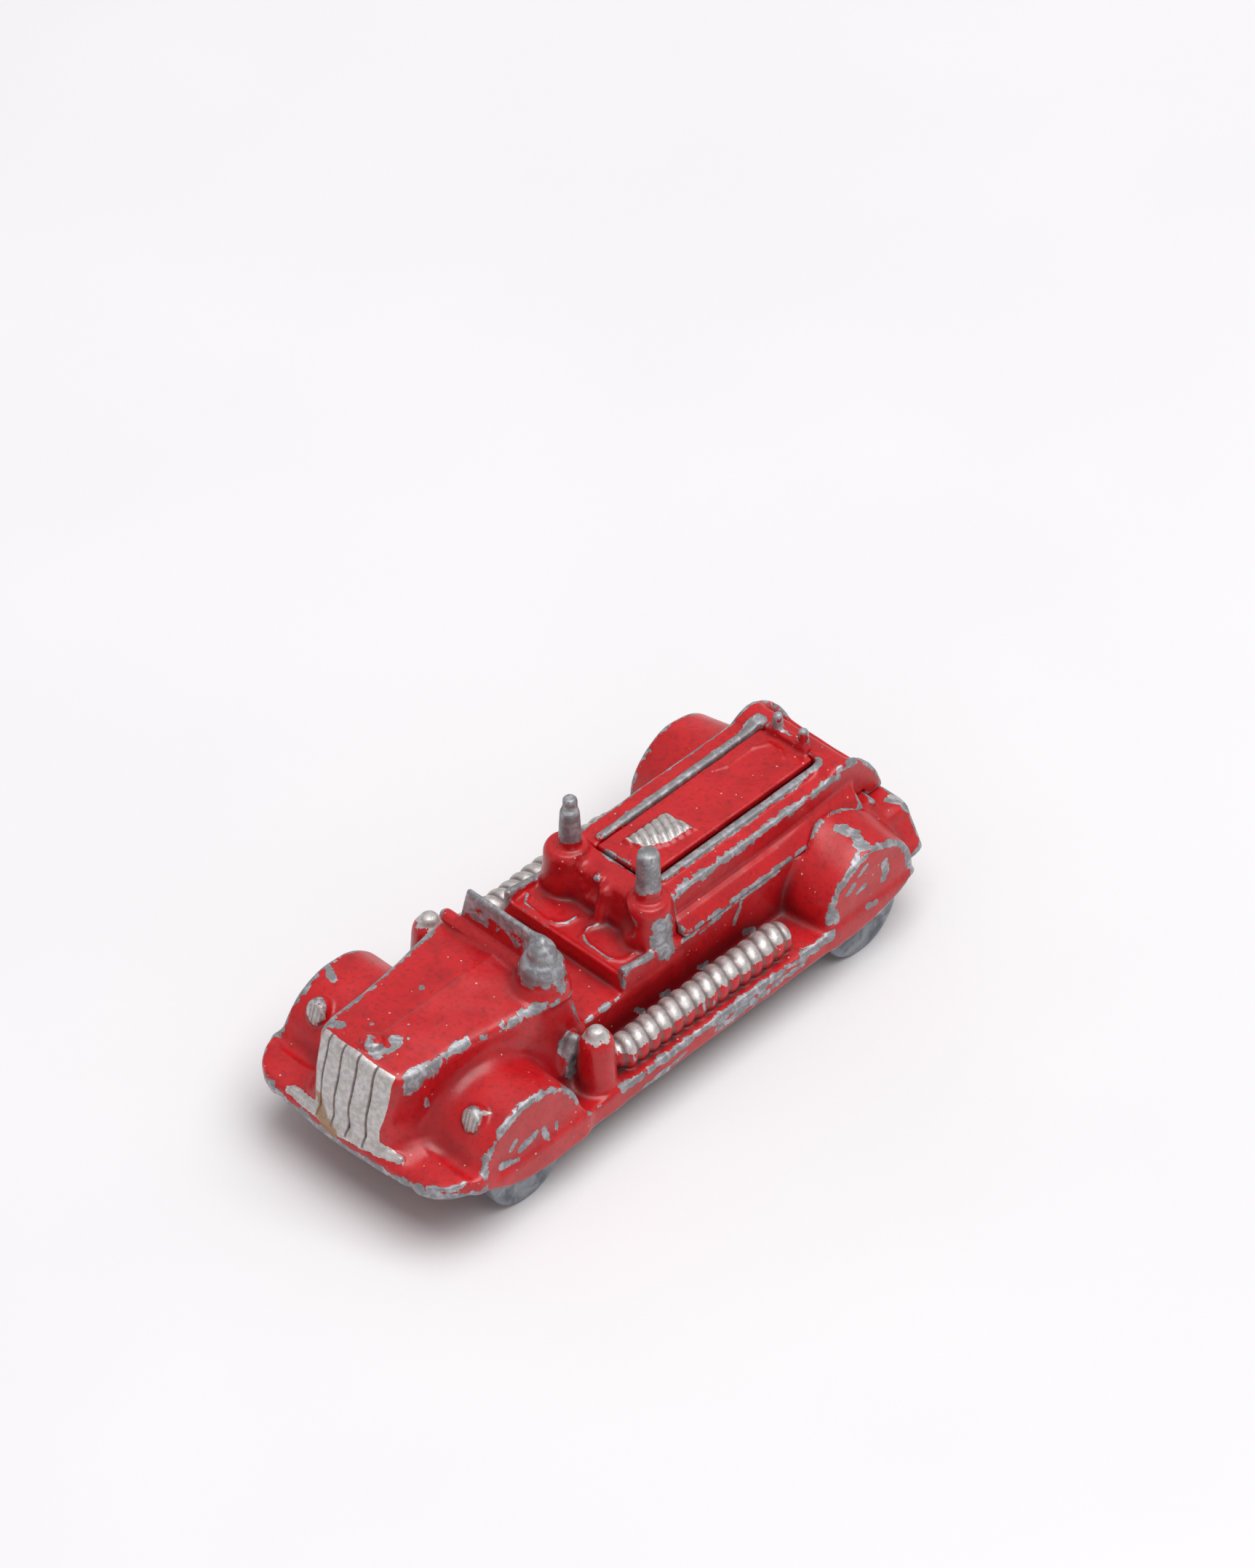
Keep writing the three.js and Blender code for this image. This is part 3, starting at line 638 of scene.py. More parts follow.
# Each entry is a line in millimetres, a radius and a strength; 1 is surely bare.
BARE_LINES = [
    (wing_rim(-19.8, 6.4, 6.0, 11.9, 15, 178), 0.85, 0.95),
    (wing_rim(21.7, 6.9, 5.3, 11.85, -5, 175), 0.75, 0.95),
    (wing_rim(-19.8, 6.4, 6.0, -11.9, 15, 178), 1.0, 0.9),
    (wing_rim(21.7, 6.9, 5.3, -11.85, -5, 175), 1.0, 0.9),
    ([(-4.9, -26.2, 15.2), (-5.7, -18, 15.0), (-6.7, -12.4, 14.8)], 1.0, 1.0),
    ([(5.1, -26.6, 15.0), (5.2, -24.8, 15.3)], 2.0, 1.0),
    ([(5.2, -24.6, 15.4), (5.5, -20.6, 15.3)], 1.1, 1.05),
    ([(5.6, -20.6, 15.2), (6.9, -12.2, 15.0)], 0.95, 0.95),
    ([(1.2, -24.9, 15.9), (2.1, -25.2, 15.9), (3.8, -26.1, 15.7), (5.2, -26.5, 15.4)], 0.85, 1.4),
    ([(1.2, -27.0, 16.0), (2.3, -25.4, 15.9)], 0.9, 1.1),
    ([(0.9, -26.6, 15.9), (2.6, -26.6, 15.8)], 0.8, 0.8),
    ([(-4.4, -27.2, 15.6), (-3.3, -26.7, 15.8)], 0.8, 1.0),
    ([(-4.4, -27.9, 16.0), (4.4, -27.9, 16.0)], 0.35, 0.8),
    ([(-12.1, -26.3, 6.9), (-11.0, -28.8, 6.9), (-8.6, -30.0, 6.8), (0, -30.2, 6.5),
      (8.6, -30.0, 6.8), (11.0, -28.8, 6.9), (12.1, -26.3, 6.9)], 0.75, 0.95),
    ([(-4.5, -11.1, 20.1), (4.5, -11.1, 20.1)], 2.2, 1.3),
    ([(4.9, -11.4, 20.2), (4.9, -11.4, 17.2)], 2.5, 1.6),
    ([(5.9, -10.6, 16.4), (6.5, -11.0, 15.9)], 1.1, 0.8),
    ([(-6.6, -11.5, 16.4), (-5.2, -11.6, 16.5)], 0.5, 0.7),
    ([(4.57, 1.65, 21), (4.57, 1.65, 18.0)], 2.05, 1.6),
    ([(-4.57, 1.65, 21), (-4.57, 1.65, 18.2)], 2.4, 1.5),
    ([(6.4, 1.2, 14.4), (7.0, 1.2, 11.6)], 1.35, 1.3),
    ([(6.75, -3.9, 12.9), (6.75, -0.3, 12.3)], 0.6, 1.0),
    ([(7.0, -3.95, 12.8), (7.0, -3.95, 11.0)], 0.4, 0.9),
    ([(-6.75, -3.9, 12.9), (-6.75, 2.0, 11.7)], 0.5, 1.0),
    ([(7.1, -8.6, 10.1), (7.1, -4.6, 10.1)], 0.5, 0.8),
    ([(-7.1, -8.6, 10.1), (-7.1, -4.6, 10.1)], 0.5, 0.7),
    ([(8.0, -11.6, 7.6), (8.0, -11.2, 10.2)], 1.3, 1.1),
    ([(-8.0, -11.6, 7.6), (-8.0, -11.2, 10.2)], 1.2, 1.0),
    ([(0.2, -26.9, 16.3)], 1.25, 0.9),
    ([(9.8, -10.0, 12.4)], 0.9, 0.8),
    ([(5.6, 4.2, 15.3), (5.6, 24.0, 15.4)], 0.9, 0.95),
    ([(-5.6, 4.2, 15.4), (-5.6, 24.0, 15.5)], 0.5, 0.75),
    ([(5.6, 24.0, 15.9), (5.6, 27.2, 15.4), (5.6, 29.0, 13.0)], 0.5, 0.85),
    ([(-5.6, 24.0, 15.9), (-5.6, 27.2, 15.4)], 0.5, 0.85),
    ([(3.6, 7.0, 16.0), (3.6, 21.6, 16.0)], 0.9, 1.6),
    ([(3.6, 22.8, 16.0), (3.6, 23.4, 16.0)], 0.8, 1.3),
    ([(3.6, 4.3, 16.0), (3.6, 5.6, 16.0)], 0.8, 1.3),
    ([(-3.6, 7.5, 16.0), (-3.6, 23.8, 16.0)], 0.9, 1.6),
    ([(-3.58, 4.6, 16.1), (-3.9, 7.0, 16.0)], 0.5, 0.9),
    ([(7.2, 3.6, 11.6), (7.2, 17.5, 11.6)], 0.45, 0.78),
    ([(-7.2, 3.6, 11.6), (-7.2, 25.0, 11.6)], 0.45, 0.7),
    ([(7.15, 10.6, 11.4), (7.1, 9.6, 9.0)], 0.4, 0.95),
    ([(7.15, 5.4, 10.8), (7.15, 7.6, 11.0)], 0.55, 0.85),
    ([(1.5, 24.05, 18.2), (1.5, 24.05, 16.9)], 0.9, 1.3),
    ([(-1.5, 24.05, 18.2), (-1.5, 24.05, 16.9)], 0.9, 1.3),
    ([(-1.4, 24.0, 16.6), (1.4, 24.0, 16.6)], 0.4, 0.8),
    ([(7.3, 28.9, 10.4), (8.3, 29.6, 10.0)], 0.6, 0.9),
    ([(8.6, 21.6, 12.6), (9.6, 22.0, 12.4), (10.8, 21.4, 12.2)], 1.1, 1.1),
    ([(11.2, 20.5, 12.2), (11.8, 19.0, 11.6)], 0.7, 0.9),
    ([(11.9, -21.2, 7.7), (11.9, -19.5, 8.1)], 0.62, 1.2),
    ([(11.9, -18.4, 8.1), (11.9, -18.1, 6.6)], 0.48, 1.15),
    ([(11.9, -22.3, 8.4), (11.9, -21.8, 9.0)], 0.42, 1.1),
    ([(11.9, -23.6, 7.4), (11.9, -21.5, 6.8)], 0.55, 1.1),
    ([(11.9, -17.0, 7.0), (11.9, -16.9, 7.7)], 0.35, 1.1),
    ([(11.9, 23.2, 9.8), (11.9, 23.5, 8.5), (11.9, 23.1, 8.0)], 0.6, 1.2),
    ([(11.9, 19.9, 8.5), (11.9, 20.8, 8.7)], 0.45, 1.2),
    ([(11.9, 18.8, 9.3), (11.9, 19.4, 9.7)], 0.5, 1.2),
    ([(11.9, 20.1, 10.5), (11.9, 21.0, 11.0)], 0.45, 1.1),
    ([(11.9, 17.1, 8.2), (11.9, 17.4, 7.0)], 0.5, 1.2),
    ([(11.9, 26.4, 8.7), (11.9, 27.0, 7.2)], 0.85, 1.2),
    ([(11.9, 21.0, 6.3), (11.9, 22.0, 6.2)], 0.45, 1.1),
    ([(7.3, 5.2, 6.9), (7.2, 6.2, 6.6)], 0.5, 1.2),
    ([(7.3, 10.9, 7.0), (7.2, 12.0, 6.7)], 0.5, 1.2),
    ([(7.3, 0.6, 6.9), (7.2, 1.4, 6.5)], 0.45, 1.2),
    ([(7.3, -2.4, 7.2), (7.2, -1.6, 6.5)], 0.5, 1.2),
    ([(-11.4, -20.4, 12.3), (-10.0, -21.0, 12.3)], 0.65, 1.1),
    ([(12.05, -9.0, 6.0), (12.05, 16.5, 6.0)], 0.8, 0.95),
    ([(12.05, 2.0, 4.9), (12.05, 13.0, 5.2)], 0.8, 0.8),
    ([(12.05, -7.0, 4.4), (12.05, -1.0, 4.9)], 0.5, 0.75),
    ([(5.4, -25.6, 12.3), (5.4, -25.5, 11.4)], 0.55, 0.9),
]
SPREAD = 1.3
CHIPS = [
    (1.9, -24.0), (0.7, -22.9), (3.5, -24.7), (2.6, -21.6), (-1.5, -24.9), (3.4, -16.2),
    (-1.6, -19.0), (1.2, -25.4),
]
SILVER_LINES = [
    ([(9.1, -24.4, 11.4)], 1.75, 1.3),
    ([(-9.1, -24.4, 11.4)], 1.75, 1.3),
    ([(9.4, -23.9, 11.9), (10.0, -22.8, 12.0)], 0.6, 0.9),
    ([(9.8, -10.0, 11.6)], 2.2, 1.15),
    ([(-9.8, -10.0, 11.6)], 2.2, 1.15),
    ([(-6.8, -29.6, 8.0), (0, -30.2, 7.95), (6.2, -29.5, 8.4)], 0.95, 1.4),
    ([(7.0, 29.3, 10.4), (7.9, 29.7, 10.2)], 0.6, 1.0),
]


def paint_masks(points, convex):
    """How bare and how silver each place is, from 0 to 1."""
    x, y, z = points.T
    bare = ramp(convex, 0.055, 0.17) * 0.7
    for line, radius, strength in BARE_LINES:
        bare = np.maximum(bare, line_wear(points, line, radius * SPREAD) * strength)
    for line in cushion_lines():
        raised = [(cx, cy, 11.9) for cx, cy in line]
        bare = np.maximum(bare, line_wear(points, raised, 0.3) * 0.9)
    for cx, cy in CHIPS:
        bare = np.maximum(bare, line_wear(points, [(cx, cy, 15.7)], 0.55) * 0.95)
    silver = np.zeros(len(points))
    for line, radius, strength in SILVER_LINES:
        silver = np.maximum(silver, line_wear(points, line, radius) * strength)
    half = np.interp(z, GRILLE_Z, GRILLE_HALF)
    ahead = np.abs(y - grille_front(x, z))
    on_grille = np.minimum((half + 0.05 - np.abs(x)) / 0.3, (16.15 - z) / 0.3)
    on_grille = np.minimum(on_grille, np.minimum((z - 7.6) / 0.3, (0.6 - ahead) / 0.2))
    silver = np.maximum(silver, np.clip(on_grille, 0, 1) * 1.3)
    hose = np.abs(np.abs(x) - HOSE_X)
    on_hose = (y > -8.2) & (y < 13.2) & (hose < 1.5) & (z > 6.25)
    low_edge = 7.55 + 0.55 * (np.abs(x) > HOSE_X)
    brushed = ramp(z, low_edge - 1.0, low_edge + 0.6) * 0.78
    silver = np.maximum(silver, np.where(on_hose, brushed, 0))
    bare = np.where((np.abs(y + 3.7) < 0.5) & (np.abs(x) < 6.3) & (z > 11), bare * 0.45, bare)
    inner_post = (x > 2) & (x < 4.3) & (np.abs(z - 14.4) < 1.4) & (y < 2.5)
    bare = np.where(inner_post, bare * 0.5, bare)
    shoulder = (np.hypot(np.abs(x) - 4.75, y - 1.5) < 2.7) & (np.abs(z - 16.0) < 0.9) & (x < 6.3)
    bare = np.where(shoulder, bare * 0.55, bare)
    bead_end = (x < -4.6) & (np.abs(y + 11.5) < 1.5) & (np.abs(z - 15.6) < 1)
    bare = np.where(bead_end, bare * 0.55, bare)
    return bare, silver, crease_shade_mask(x, y, z, on_grille, on_hose), glue_mask(points)


def crease_shade_mask(x, y, z, on_grille, on_hose):
    """Painted shade: thin dark lines in grille grooves, between hose coils and lamp ribs, and down
    the bonnet's middle.
    """
    nearest = np.min([np.abs(x - g) for g in GROOVES], axis=0)
    lines = np.where(on_grille > 0.2, ramp(0.13 - nearest, 0.0, 0.05), 0)
    on_bonnet = (z > 15.2) & (y > -25.6) & (y < -15.5)
    lines = np.maximum(lines, np.where(on_bonnet, ramp(0.1 - np.abs(x), 0.0, 0.05) * 0.6, 0))
    valley = 1 - np.abs(np.sin(np.pi * hose_turns(np.abs(x), y)))
    lines = np.maximum(lines, np.where(on_hose, ramp(valley, 0.3, 0.85) * 0.95, 0))
    on_lens = (np.abs(np.abs(x) - LAMP[0]) < 1.2) & (y < -24.15) & (z > 10.2) & (z < 12.4)
    between_ribs = np.cos((np.abs(x) - LAMP[0]) * 2 * np.pi / RIB_PITCH)
    return np.maximum(lines, np.where(on_lens, ramp(between_ribs, 0.0, 0.8) * 0.8, 0))


def glue_mask(points):
    return line_wear(points, [(-3.3, -29.8, 9.4), (-2.5, -30.1, 7.9), (-1.0, -30.4, 7.4)], 1.1)


def panel_masks(points, convex):
    x, y, z = points.T
    bare = ramp(convex, 0.08, 0.2) * 0.5
    for line, radius, strength in BARE_LINES:
        bare = np.maximum(bare, line_wear(points, line, radius) * strength)
    bare = np.where(np.abs(x) > 2.6, bare * 0.3, bare)
    silver = np.clip(-polygon(x, y, COIL_OUTLINE) / 0.6, 0, 1) * (z > 15.8)
    # Painted shade in the valleys between the turns of the coiled hose.
    valley = 1 - np.abs(np.sin(np.pi * coil_turns(x, y)))
    return bare, silver, ramp(valley, 0.5, 0.95) * silver * 0.8, np.zeros(len(points))


def plain_masks(points, convex):
    nothing = np.zeros(len(points))
    return ramp(convex, 0.1, 0.3), nothing, nothing, nothing


# ---- meshes --------------------------------------------------------------------------
def make_object(name, points, faces, attributes):
    mesh = bpy.data.meshes.new(name)
    mesh.from_pydata((points * MM).tolist(), [], faces.tolist())
    mesh.polygons.foreach_set("use_smooth", np.ones(len(mesh.polygons), bool))
    for key, values in attributes.items():
        layer = mesh.attributes.new(key, "FLOAT", "POINT")
        layer.data.foreach_set("value", np.asarray(values, np.float32))
    mesh.update()
    made = bpy.data.objects.new(name, mesh)
    bpy.context.scene.collection.objects.link(made)
    return made


def cast_piece(name, field, masks):
    points, quads = surface(field)
    metal = np.clip(0.5 - field.unhollowed / field.step, 0, 1)
    reach = max(1, round(0.45 / field.step))
    filled = averaged(averaged(metal, reach), reach)
    inside = sample(field, filled, points)
    # How shut in each place is; the enamel darkens its red there as painted shade.
    wide = averaged(averaged(metal, reach * 3), reach * 2)
    painted_shade = sample(field, wide, points)
    bare, silver, crease_shade, glue = masks(points, 0.5 - inside)
    return make_object(name, points, quads, {
        "bare": bare, "silver": silver, "crease_shade": crease_shade, "glue": glue,
        "cavity": np.clip(inside * 2 - 0.9, 0, 1),
        "painted_shade": np.clip(painted_shade * 2 - 0.9, 0, 1)})


def lathe_mesh(profile, centre, segments=96):
    """Points and faces turned about the x axis through a centre, from (x, radius) pairs."""
    rings = [[(x, r * math.cos(a), r * math.sin(a))
              for a in np.arange(segments) * 2 * math.pi / segments] for x, r in profile]
    points = np.array(rings).reshape(-1, 3) + np.array(centre)
    n, faces = len(profile), []
    for i in range(n):
        for j in range(segments):
            a, b = i * segments + j, i * segments + (j + 1) % segments
            k = ((i + 1) % n) * segments
            faces.append((a, b, k + (j + 1) % segments, k + j))
    return points, np.array(faces)


def wheel(name, x_outer, axle_y):
    sign = 1 if x_outer > 0 else -1
    depth = [(0.0, 0.68), (0.02, 1.15), (-0.06, 1.35), (-0.06, 3.35), (0.0, 3.6), (0.0, 3.98),
             (-0.06, 4.16), (-0.18, 4.27), (-0.32, 4.3), (-1.3, 4.3), (-1.45, 4.27),
             (-1.56, 4.16), (-1.6, 4.0), (-1.6, 1.8), (-1.7, 1.65), (-1.88, 1.5), (-1.9, 0.68)]
    profile = [(x_outer + sign * d, r) for d, r in depth]
    if sign < 0:
        profile.reverse()
    points, faces = lathe_mesh(profile, (0, axle_y, AXLE_Z))
    radius = np.hypot(points[:, 1] - axle_y, points[:, 2] - AXLE_Z)
    return make_object(name, points, faces, {"edge": ramp(radius, 3.7, 4.25)})


def axle(name, axle_y):
    half = [(10.9, 0.6), (11.06, 0.6), (11.07, 0.84), (11.15, 0.86), (11.24, 0.78),
            (11.29, 0.5), (11.3, 0.02)]
    profile = [(-x, r) for x, r in reversed(half)] + half
    points, faces = lathe_mesh(profile, (0, axle_y, AXLE_Z), AXLE_SIDES)
    faces = faces[:-AXLE_SIDES]
    ends = np.array([range(AXLE_SIDES), range(len(points) - AXLE_SIDES, len(points))])
    made = make_object(name, points, faces, {"edge": np.zeros(len(points))})
    caps = [ends[0].tolist(), ends[1][::-1].tolist()]
    mesh = made.data
    mesh.clear_geometry()
    mesh.from_pydata((points * MM).tolist(), [], faces.tolist() + caps)
    mesh.polygons.foreach_set("use_smooth", np.ones(len(mesh.polygons), bool))
    return made


# ---- materials -----------------------------------------------------------------------
class Nodes:
    """Short ways to add and join the nodes of one material."""

    def __init__(self, name):
        self.material = bpy.data.materials.new(name)
        self.material.use_nodes = True
        self.tree = self.material.node_tree
        self.tree.nodes.clear()
        self.shader = self.node("ShaderNodeBsdfPrincipled")
        output = self.node("ShaderNodeOutputMaterial")
        self.tree.links.new(self.shader.outputs[0], output.inputs["Surface"])
        self.place = self.node("ShaderNodeTexCoord").outputs["Object"]

    def node(self, kind):
        return self.tree.nodes.new(kind)

    def feed(self, socket, value):
        if isinstance(value, bpy.types.NodeSocket):
            self.tree.links.new(value, socket)
        else:
            socket.default_value = value

    def attribute(self, name):
        made = self.node("ShaderNodeAttribute")
        made.attribute_name = name
        return made.outputs["Fac"]

    def noise(self, size_mm, detail=3.0, rough=0.55, distortion=0.0, offset=0.0):
        shifted = self.node("ShaderNodeVectorMath")
        shifted.operation = "ADD"
        self.feed(shifted.inputs[0], self.place)
        shifted.inputs[1].default_value = (offset, offset * 0.7, -offset)
        made = self.node("ShaderNodeTexNoise")
        self.feed(made.inputs["Vector"], shifted.outputs[0])
        made.inputs["Scale"].default_value = 1 / (size_mm * MM)
        made.inputs["Detail"].default_value = detail
        made.inputs["Roughness"].default_value = rough
        made.inputs["Distortion"].default_value = distortion
        return made.outputs["Fac"]

    def cells(self, size_mm):
        made = self.node("ShaderNodeTexVoronoi")
        self.feed(made.inputs["Vector"], self.place)
        made.inputs["Scale"].default_value = 1 / (size_mm * MM)
        return made.outputs["Distance"], made.outputs["Color"]

    def math(self, kind, a, b=0.0, c=0.0):
        made = self.node("ShaderNodeMath")
        made.operation = kind
        for socket, value in zip(made.inputs, (a, b, c)):
            self.feed(socket, value)
        return made.outputs[0]

    def step(self, value, low, high, start=0.0, stop=1.0):
        made = self.node("ShaderNodeMapRange")
        made.interpolation_type = "SMOOTHSTEP"
        self.feed(made.inputs["Value"], value)
        for key, v in zip(("From Min", "From Max", "To Min", "To Max"), (low, high, start, stop)):
            made.inputs[key].default_value = v
        return made.outputs["Result"]

    def blend(self, amount, a, b):
        made = self.node("ShaderNodeMix")
        made.data_type = "RGBA"
        self.feed(made.inputs["Factor"], amount)
        self.feed(made.inputs["A"], a)
        self.feed(made.inputs["B"], b)
        return made.outputs["Result"]

    def mix_value(self, amount, a, b):
        made = self.node("ShaderNodeMix")
        self.feed(made.inputs["Factor"], amount)
        self.feed(made.inputs["A"], a)
        self.feed(made.inputs["B"], b)
        return made.outputs["Result"]

    def bump(self, heights):
        """Heights in micrometres become one normal."""
        normal = None
        for height, microns in heights:
            made = self.node("ShaderNodeBump")
            made.inputs["Distance"].default_value = microns * 1e-6
            made.inputs["Strength"].default_value = 1.0
            self.feed(made.inputs["Height"], height)
            if normal:
                self.feed(made.inputs["Normal"], normal)
            normal = made.outputs["Normal"]
        self.feed(self.shader.inputs["Normal"], normal)


RED = (0.43, 0.005, 0.008, 1)
# A deep red for darker random patches, and for painted shade in shut-in places.
RED_DEEP_AND_SHADE = (0.18, 0.002, 0.005, 1)
RED_PALE = (0.50, 0.008, 0.012, 1)
ZINC = (0.22, 0.22, 0.23, 1)
ZINC_PALE = (0.42, 0.42, 0.45, 1)
SILVER = (0.58, 0.55, 0.54, 1)
SILVER_DULL = (0.43, 0.40, 0.39, 1)
# Near black for the hollows, which turn darker and rougher in patches.
HOLLOW_DARK = (0.035, 0.015, 0.014, 1)
# Dark brown for painted shade along grooves and valleys.
CREASE_SHADE = (0.11, 0.07, 0.065, 1)
GLUE = (0.30, 0.16, 0.05, 1)
SPECK = (0.62, 0.42, 0.34, 1)


def enamel():
    """Red enamel chipped back to grey zinc, with brushed silver paint, darker patches in the
    hollows, and painted shade in shut-in places and in grooves.
    """
    n = Nodes("enamel_on_zinc")
    bare, silver = n.attribute("bare"), n.attribute("silver")
    cavity, painted_shade = n.attribute("cavity"), n.attribute("painted_shade")
    ragged = n.noise(1.1, 5, 0.62, 0.4)
    coarse = n.noise(4.5, 2, 0.5, 0.0, 0.02)
    edge = n.math("ADD", bare, n.math("MULTIPLY", n.math("SUBTRACT", ragged, 0.5), 1.5))
    edge = n.math("ADD", edge, n.math("MULTIPLY", n.math("SUBTRACT", coarse, 0.5), 0.7))
    chipped = n.step(edge, 0.56, 0.585)
    streaks = n.noise(0.7, 4, 0.6, 0.3, 0.04)
    brushed = n.math("ADD", silver, n.math("MULTIPLY", n.math("SUBTRACT", streaks, 0.5), 0.9))
    silvered = n.step(brushed, 0.52, 0.56)
    tone = n.noise(6.0, 3, 0.5, 0.0, 0.01)
    red = n.blend(n.step(tone, 0.3, 0.7), RED, RED_PALE)
    red = n.blend(n.step(n.noise(0.45, 4, 0.65, 0.0, 0.08), 0.48, 0.68, 0.0, 0.45), red, RED_DEEP_AND_SHADE)
    red = n.blend(n.step(n.noise(2.6, 3, 0.6, 0.0, 0.13), 0.45, 0.7, 0.0, 0.3), red, RED_DEEP_AND_SHADE)
    # Painted shade: the red turns deep red where the place is shut in.
    red = n.blend(n.step(painted_shade, 0.08, 0.55, 0.0, 0.9), red, RED_DEEP_AND_SHADE)
    metal = n.blend(n.step(n.noise(0.9, 4, 0.65, 0.6, 0.06), 0.42, 0.68), ZINC, ZINC_PALE)
    paint = n.blend(n.step(n.noise(0.5, 4, 0.6, 0.0, 0.03), 0.35, 0.65), SILVER_DULL, SILVER)
    colour = n.blend(chipped, red, metal)
    colour = n.blend(silvered, colour, paint)
    # Painted shade: dark lines along grooves and valleys.
    colour = n.blend(n.math("MULTIPLY", n.attribute("crease_shade"), 0.8), colour, CREASE_SHADE)
    uneven = n.math("MULTIPLY", n.math("SUBTRACT", streaks, 0.5), 0.6)
    glued = n.math("ADD", n.attribute("glue"), uneven)
    colour = n.blend(n.step(glued, 0.35, 0.6, 0.0, 0.75), colour, GLUE)
    # Hollows turn darker and rougher, in patches.
    hollow_darkening = n.math("MULTIPLY", n.step(cavity, 0.2, 0.6), n.step(n.noise(0.8, 4), 0.32, 0.6))
    colour = n.blend(n.math("MULTIPLY", hollow_darkening, 0.7), colour, HOLLOW_DARK)
    distance, chance = n.cells(0.85)
    speck = n.math("MULTIPLY", n.step(distance, 0.085, 0.12, 1.0, 0.0), n.step(chance, 0.5, 0.6))
    speck = n.math("MULTIPLY", speck, n.step(n.noise(5.0, 2, 0.5, 0, 0.09), 0.4, 0.54))
    colour = n.blend(n.math("MULTIPLY", speck, 0.8), colour, SPECK)
    n.feed(n.shader.inputs["Base Color"], colour)
    zinc_share = n.math("MULTIPLY", chipped, 0.55)
    silver_share = n.math("MULTIPLY", silvered, 0.6)
    n.feed(n.shader.inputs["Metallic"], n.math("MAXIMUM", zinc_share, silver_share))
    rough = n.step(n.noise(2.4, 3, 0.6, 0, 0.05), 0.3, 0.7, 0.27, 0.40)
    rough = n.mix_value(chipped, rough, 0.47)
    rough = n.mix_value(silvered, rough, n.step(streaks, 0.3, 0.7, 0.36, 0.56))
    n.feed(n.shader.inputs["Roughness"], n.math("ADD", rough, n.math("MULTIPLY", hollow_darkening, 0.3)))
    n.shader.inputs["Specular IOR Level"].default_value = 0.5
    film = n.math("SUBTRACT", 1.0, chipped)
    n.bump([(n.noise(0.9, 3, 0.5, 0, 0.07), 16), (n.noise(0.22, 2, 0.5), 5), (film, 28),
            (silvered, 14)])
    return n.material


def bare_metal(name, dark, pale, rough_low, rough_high, metallic, scratch):
    """Unpainted metal with blotches and a paler edge; scratch is in micrometres."""
    n = Nodes(name)
    blotch = n.step(n.noise(1.9, 5, 0.62, 0.5), 0.36, 0.66)
    colour = n.blend(blotch, dark, pale)
    edge = n.math("MULTIPLY", n.attribute("edge"), 0.6)
    colour = n.blend(edge, colour, pale)
    n.feed(n.shader.inputs["Base Color"], colour)
    n.shader.inputs["Metallic"].default_value = metallic
    rough = n.step(n.noise(0.9, 4, 0.6), 0.3, 0.7, rough_low, rough_high)
    n.feed(n.shader.inputs["Roughness"], rough)
    n.bump([(n.noise(1.2, 4, 0.6, 0.4), scratch), (n.noise(0.18, 3, 0.6), scratch * 0.35)])
    return n.material


def paper():
    n = Nodes("pale_floor")
    n.feed(n.shader.inputs["Base Color"], n.blend(
        n.step(n.noise(60, 2), 0.3, 0.7), (0.71, 0.70, 0.71, 1), (0.73, 0.72, 0.73, 1)))
    n.shader.inputs["Roughness"].default_value = 0.85
    n.shader.inputs["Specular IOR Level"].default_value = 0.2
    n.bump([(n.noise(6, 3, 0.5), 60), (n.noise(0.5, 3, 0.5), 12)])
    return n.material


# ---- build ---------------------------------------------------------------------------
red_enamel = enamel()
wheel_zinc = bare_metal(
    "dull_wheel_zinc", (0.13, 0.14, 0.16, 1), (0.30, 0.32, 0.35, 1), 0.4, 0.6, 0.6, 14)
plate_steel = bare_metal(
    "plate_steel", (0.10, 0.10, 0.10, 1), (0.24, 0.24, 0.25, 1), 0.35, 0.6, 0.8, 10)
axle_steel = bare_metal(
    "axle_steel", (0.20, 0.20, 0.21, 1), (0.42, 0.42, 0.44, 1), 0.25, 0.45, 0.9, 6)


def finish_piece(made, node, body, material):
    made.data.materials.append(material)
    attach(made, body)
    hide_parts(node)


finish_piece(cast_piece("casting_main", body_casting(), paint_masks),
             "body_casting", "body", red_enamel)
finish_piece(cast_piece("casting_rear", rear_body(), paint_masks),
             "rear_body", "body", red_enamel)
finish_piece(cast_piece("deck_cover", deck_panel(), panel_masks),
             "deck_panel", "body", red_enamel)
plate = cast_piece("floor_plate", base_plate(), plain_masks)
plate.data.attributes["bare"].name = "edge"
finish_piece(plate, "base_plate", "body", plate_steel)
for end, axle_y in (("front", FRONT_AXLE_Y), ("rear", REAR_AXLE_Y)):
    finish_piece(axle(f"{end}_axle_pin", axle_y), f"{end}_axle", "body", axle_steel)
    for label, sign in (("left", 1), ("right", -1)):
        node = f"{end}_{label}_wheel"
        disc = wheel(f"{node}_disc", sign * WHEEL_X, axle_y)
        finish_piece(disc, node, node, wheel_zinc)


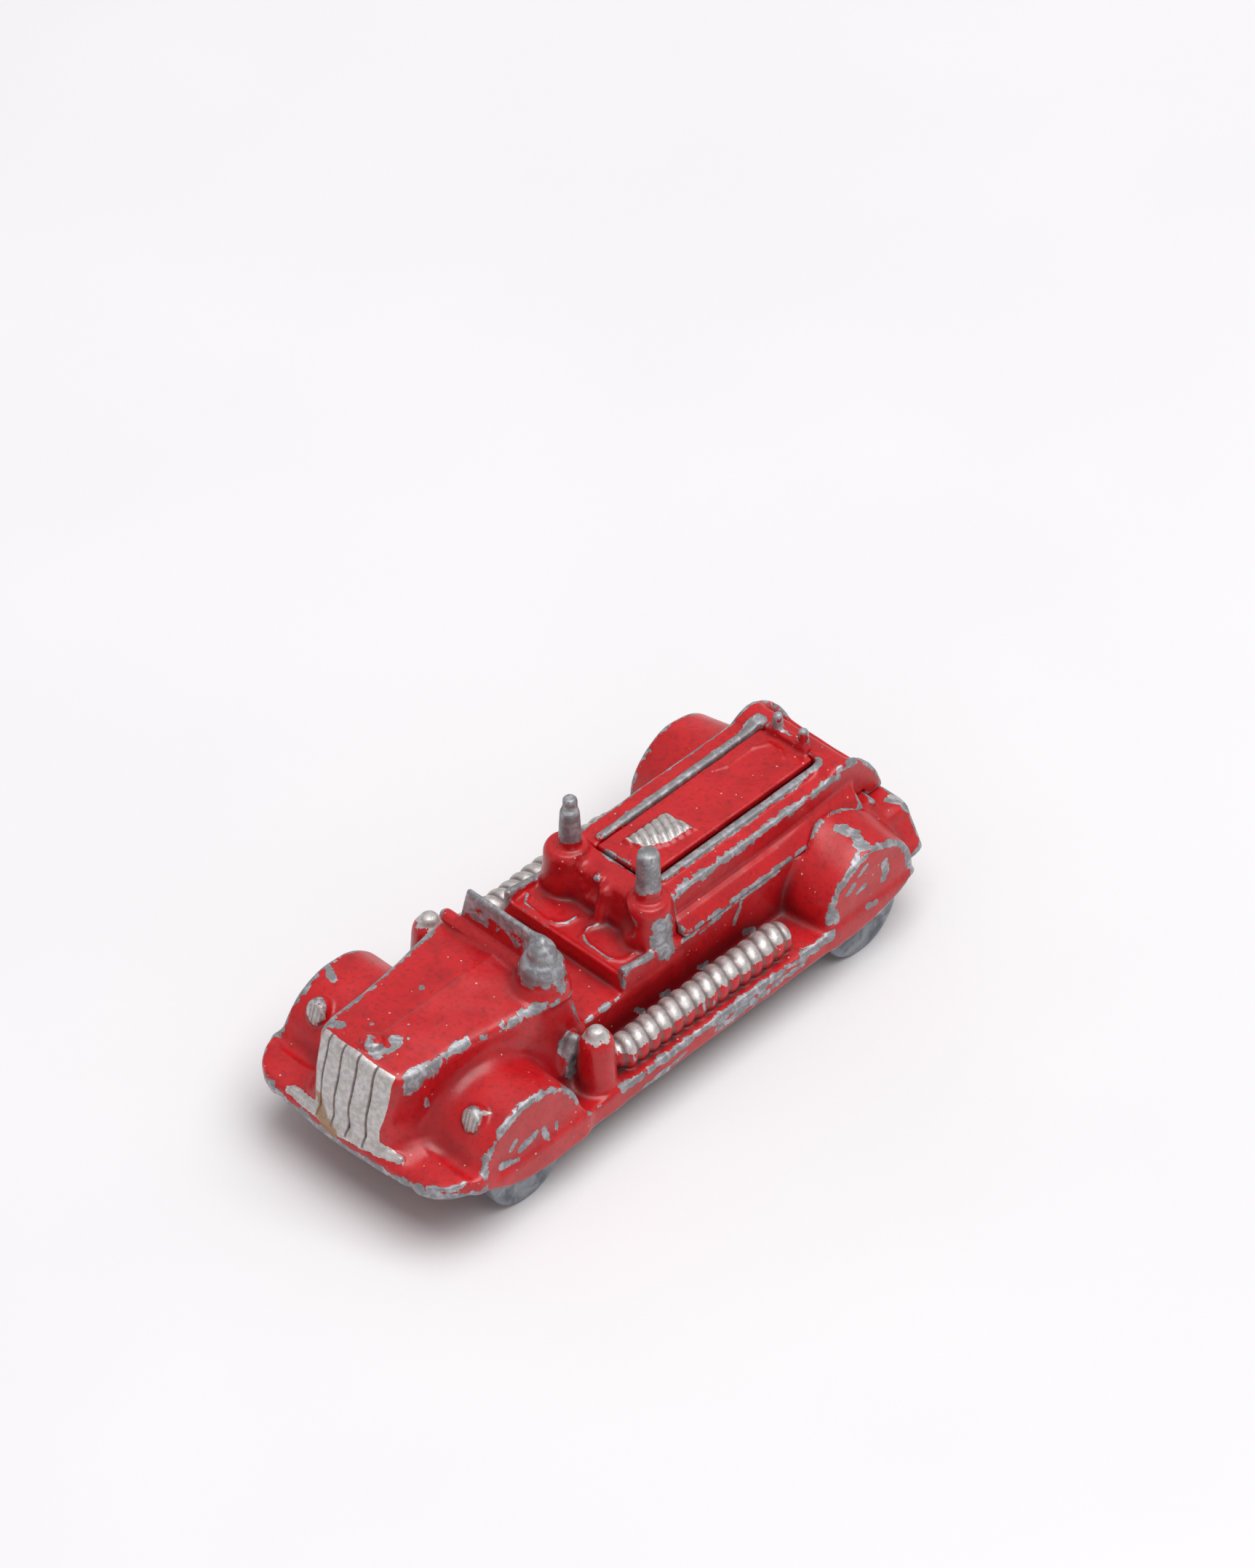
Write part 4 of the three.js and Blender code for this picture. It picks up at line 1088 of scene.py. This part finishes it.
# ---- floor, light and camera ---------------------------------------------------------
def floor():
    size = 3.0
    mesh = bpy.data.meshes.new("floor")
    corners = [(-size, -size, 0), (size, -size, 0), (size, size, 0), (-size, size, 0)]
    mesh.from_pydata(corners, [], [(0, 1, 2, 3)])
    made = bpy.data.objects.new("floor", mesh)
    mesh.materials.append(paper())
    bpy.context.scene.collection.objects.link(made)


def area_light(name, azimuth, elevation, distance, size, power):
    """A square lamp aimed at the model; azimuth 0 stands on the -Y side."""
    a, e = math.radians(azimuth), math.radians(elevation)
    away = Vector((math.sin(a) * math.cos(e), -math.cos(a) * math.cos(e), math.sin(e)))
    data = bpy.data.lights.new(name, "AREA")
    data.size = size
    data.energy = power
    lamp = bpy.data.objects.new(name, data)
    lamp.location = away * distance
    lamp.rotation_euler = away.to_track_quat("Z", "Y").to_euler()
    bpy.context.scene.collection.objects.link(lamp)


def camera():
    """The photograph's viewpoint: azimuth, elevation and roll, and where it stands."""
    azimuth, elevation, roll = (math.radians(v) for v in (43.763, 42.991, 0.103))
    back = Vector((math.sin(azimuth) * math.cos(elevation),
                   -math.cos(azimuth) * math.cos(elevation), math.sin(elevation)))
    right = Vector((math.cos(azimuth), math.sin(azimuth), 0))
    up = back.cross(right)
    turned_right = right * math.cos(roll) + up * math.sin(roll)
    turned_up = up * math.cos(roll) - right * math.sin(roll)
    data = bpy.data.cameras.new("camera")
    data.sensor_fit = "VERTICAL"
    data.sensor_height = 36
    data.lens = 179.1
    data.clip_start = 0.01
    made = bpy.data.objects.new("camera", data)
    axes = Matrix((turned_right, turned_up, back)).transposed().to_4x4()
    made.matrix_world = Matrix.Translation(Vector((329.591, -340.235, 468.564)) * MM) @ axes
    bpy.context.scene.collection.objects.link(made)
    bpy.context.scene.camera = made


floor()
world = bpy.data.worlds.new("studio")
world.use_nodes = True
world.node_tree.nodes["Background"].inputs["Color"].default_value = (1.0, 0.985, 0.995, 1)
world.node_tree.nodes["Background"].inputs["Strength"].default_value = 0.5
bpy.context.scene.world = world
area_light("key", 105, 77, 1.1, 1.0, 13.2)
camera()
bpy.context.scene.view_settings.view_transform = "Standard"
